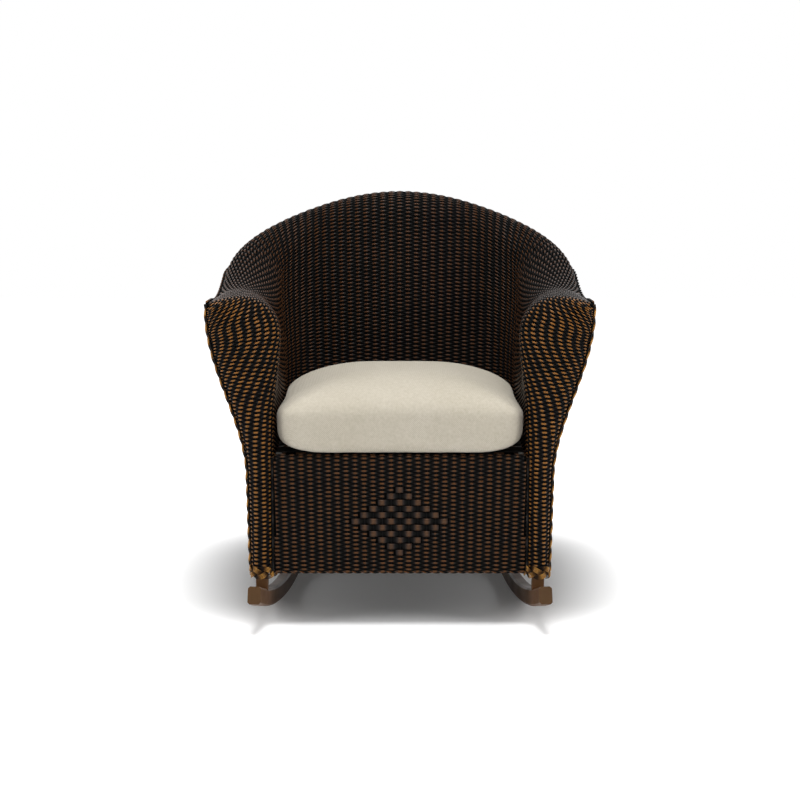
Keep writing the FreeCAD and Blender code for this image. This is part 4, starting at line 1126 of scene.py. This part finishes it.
piece = meshPiece("seatCushion", *cushionMesh(), cloth)
evener = piece.modifiers.new("evener", "REMESH")
evener.mode = "VOXEL"
evener.voxel_size = cushion["voxel"]
evener.use_smooth_shade = True
graph = bpy.context.evaluated_depsgraph_get()
mesh = bpy.data.meshes.new_from_object(piece.evaluated_get(graph))
piece.modifiers.remove(evener)
piece.data = mesh
if not mesh.materials:
    mesh.materials.append(cloth)
filling = piece.modifiers.new("filling", "CLOTH")
filling.settings.use_pressure = True
filling.settings.uniform_pressure_force = cushion["pressure"]
filling.settings.quality = cushion["quality"]
filling.settings.effector_weights.gravity = 0
filling.point_cache.frame_start = 1
filling.point_cache.frame_end = cushion["frames"]
scene = bpy.context.scene
for number in range(1, cushion["frames"] + 1):
    scene.frame_set(number)
graph = bpy.context.evaluated_depsgraph_get()
swollen = piece.evaluated_get(graph).data
moved = [vert.co.copy() for vert in swollen.vertices]
piece.modifiers.remove(filling)
scene.frame_set(1)
for vert, place in zip(mesh.vertices, moved):
    move = place - vert.co
    if move.length > cushion["mostMove"]:
        move = move.normalized() * cushion["mostMove"]
    vert.co = vert.co + move
    vert.co.z = max(vert.co.z, cushion["foot"] + cushion["footGap"])
smoother = piece.modifiers.new("smoother", "SUBSURF")
smoother.levels = smoother.render_levels = 1
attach(piece, "cushion")
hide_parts("cushion_cover", "cushion_core")
print("stage: cushion", len(mesh.polygons))


# the carried-over solids keep their shapes and get their finishes

nodeFinish = {
    "rocker_end_caps": capPlastic, "webbing_lengthwise": webbing, "webbing_crosswise": webbing,
    "webbing_clips": clipSteel,
}
for name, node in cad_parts.items():
    if not node.hide_render:
        node.data.materials.clear()
        node.data.materials.append(nodeFinish.get(name, coat))
print("stage: solids")


# camera, floor and light

view = {"target": (0, -0.37, 0.4814), "distance": 3.6, "down": 8, "lens": 79.29, "sensor": 36}
camera = bpy.data.objects.new("camera", bpy.data.cameras.new("camera"))
camera.data.lens = view["lens"]
camera.data.sensor_width = view["sensor"]
down = radians(view["down"])
camera.location = Vector(view["target"]) + Vector((0, -cos(down), sin(down))) * view["distance"]
camera.rotation_euler = (pi / 2 - down, 0, 0)
bpy.context.collection.objects.link(camera)
bpy.context.scene.camera = camera

studio = {
    "ambient": 0.11, "floor": (0.97, 0.97, 0.97, 1), "floorReach": 8,
    "floorLift": 0.05, "floorFade": (0.40, 1.0),
    "glowMiddle": (0, 0.12, 0), "glowScale": (1.15, 1, 1),
    "lamps": {                          # watts, width, depth, place, aim
        "overhead": (212, 2.0, 2.0, (0, -0.9, 4.9), (0, -0.1, 0.3)),
        "frontFill": (15, 1.8, 1.8, (0.3, -3.6, 1.6), (0, 0, 0.4)),
        "leftBox": (24, 0.6, 1.6, (-2.3, -1.3, 1.2), (-0.2, -0.3, 0.4)),
        "rightBox": (24, 0.6, 1.6, (2.3, -1.3, 1.2), (0.2, -0.3, 0.4)),
    },
}


def raysOf(tree):
    # 1 for a ray from the camera, and 1 for one from a mirror or through glass, otherwise 0
    rays = addNode(tree, "ShaderNodeLightPath")
    reflected = rays["Is Glossy Ray"].reckon("MAXIMUM", rays["Is Transmission Ray"])
    return rays["Is Camera Ray"], reflected


# the paper glows white towards its edges, so that only the object's shadow is left on it
paper, tree = newMaterial("paperFloor")
place = addNode(tree, "ShaderNodeVectorMath", {"operation": "SUBTRACT"},
                i0=objectPlace(tree, studio["glowScale"]), i1=studio["glowMiddle"])
away = addNode(tree, "ShaderNodeVectorMath", {"operation": "LENGTH"}, i0=place)["Value"]
glow = addNode(tree, "ShaderNodeMapRange", softEnds, Value=away, i1=studio["floorFade"][0],
               i2=studio["floorFade"][1], i3=studio["floorLift"], i4=1.0)
grain = addNode(tree, "ShaderNodeTexNoise", Vector=objectPlace(tree), Scale=400.0)
seen, reflected = raysOf(tree)
shaded(paper, Base_Color=studio["floor"], Roughness=0.95, Specular_IOR_Level=0.0,
       Normal=addNode(tree, "ShaderNodeBump", Height=grain, Distance=0.0002),
       Emission_Color=(1, 1, 1, 1), Emission_Strength=seen.reckon("MAXIMUM", reflected) * glow)
far = studio["floorReach"]
floor = meshPiece("floor", [(-far, -far, 0), (far, -far, 0), (far, far, 0), (-far, far, 0)],
                  [(0, 1, 2, 3)], paper, False)

world = bpy.data.worlds.new("studio")
bpy.context.scene.world = world
world.use_nodes = True
tree = world.node_tree
background = tree.nodes["Background"]
background.inputs["Color"].default_value = (1, 1, 1, 1)
# the camera sees white all round; metal sees it behind the object, and the dim room elsewhere
seen, reflected = raysOf(tree)
place = addNode(tree, "ShaderNodeTexCoord")["Generated"]
behind = addNode(tree, "ShaderNodeSeparateXYZ", Vector=place)["Y"]
behind = addNode(tree, "ShaderNodeMapRange", softEnds, Value=behind, i1=0.3, i2=0.8)
white = seen.reckon("MAXIMUM", behind * reflected)
strength = addNode(tree, "ShaderNodeMix", i0=white, i2=studio["ambient"], i3=1.0)
tree.links.new(strength.socket, background.inputs["Strength"])

for name, (watts, width, depth, place, aim) in studio["lamps"].items():
    lamp = bpy.data.objects.new(name, bpy.data.lights.new(name, "AREA"))
    lamp.data.shape = "RECTANGLE"
    lamp.data.energy, lamp.data.size, lamp.data.size_y = watts, width, depth
    lamp.location = place
    lamp.rotation_euler = (Vector(aim) - lamp.location).to_track_quat("-Z", "Y").to_euler()
    bpy.context.collection.objects.link(lamp)

bpy.context.scene.view_settings.view_transform = "Standard"
print("stage: studio")

print("stage: done")
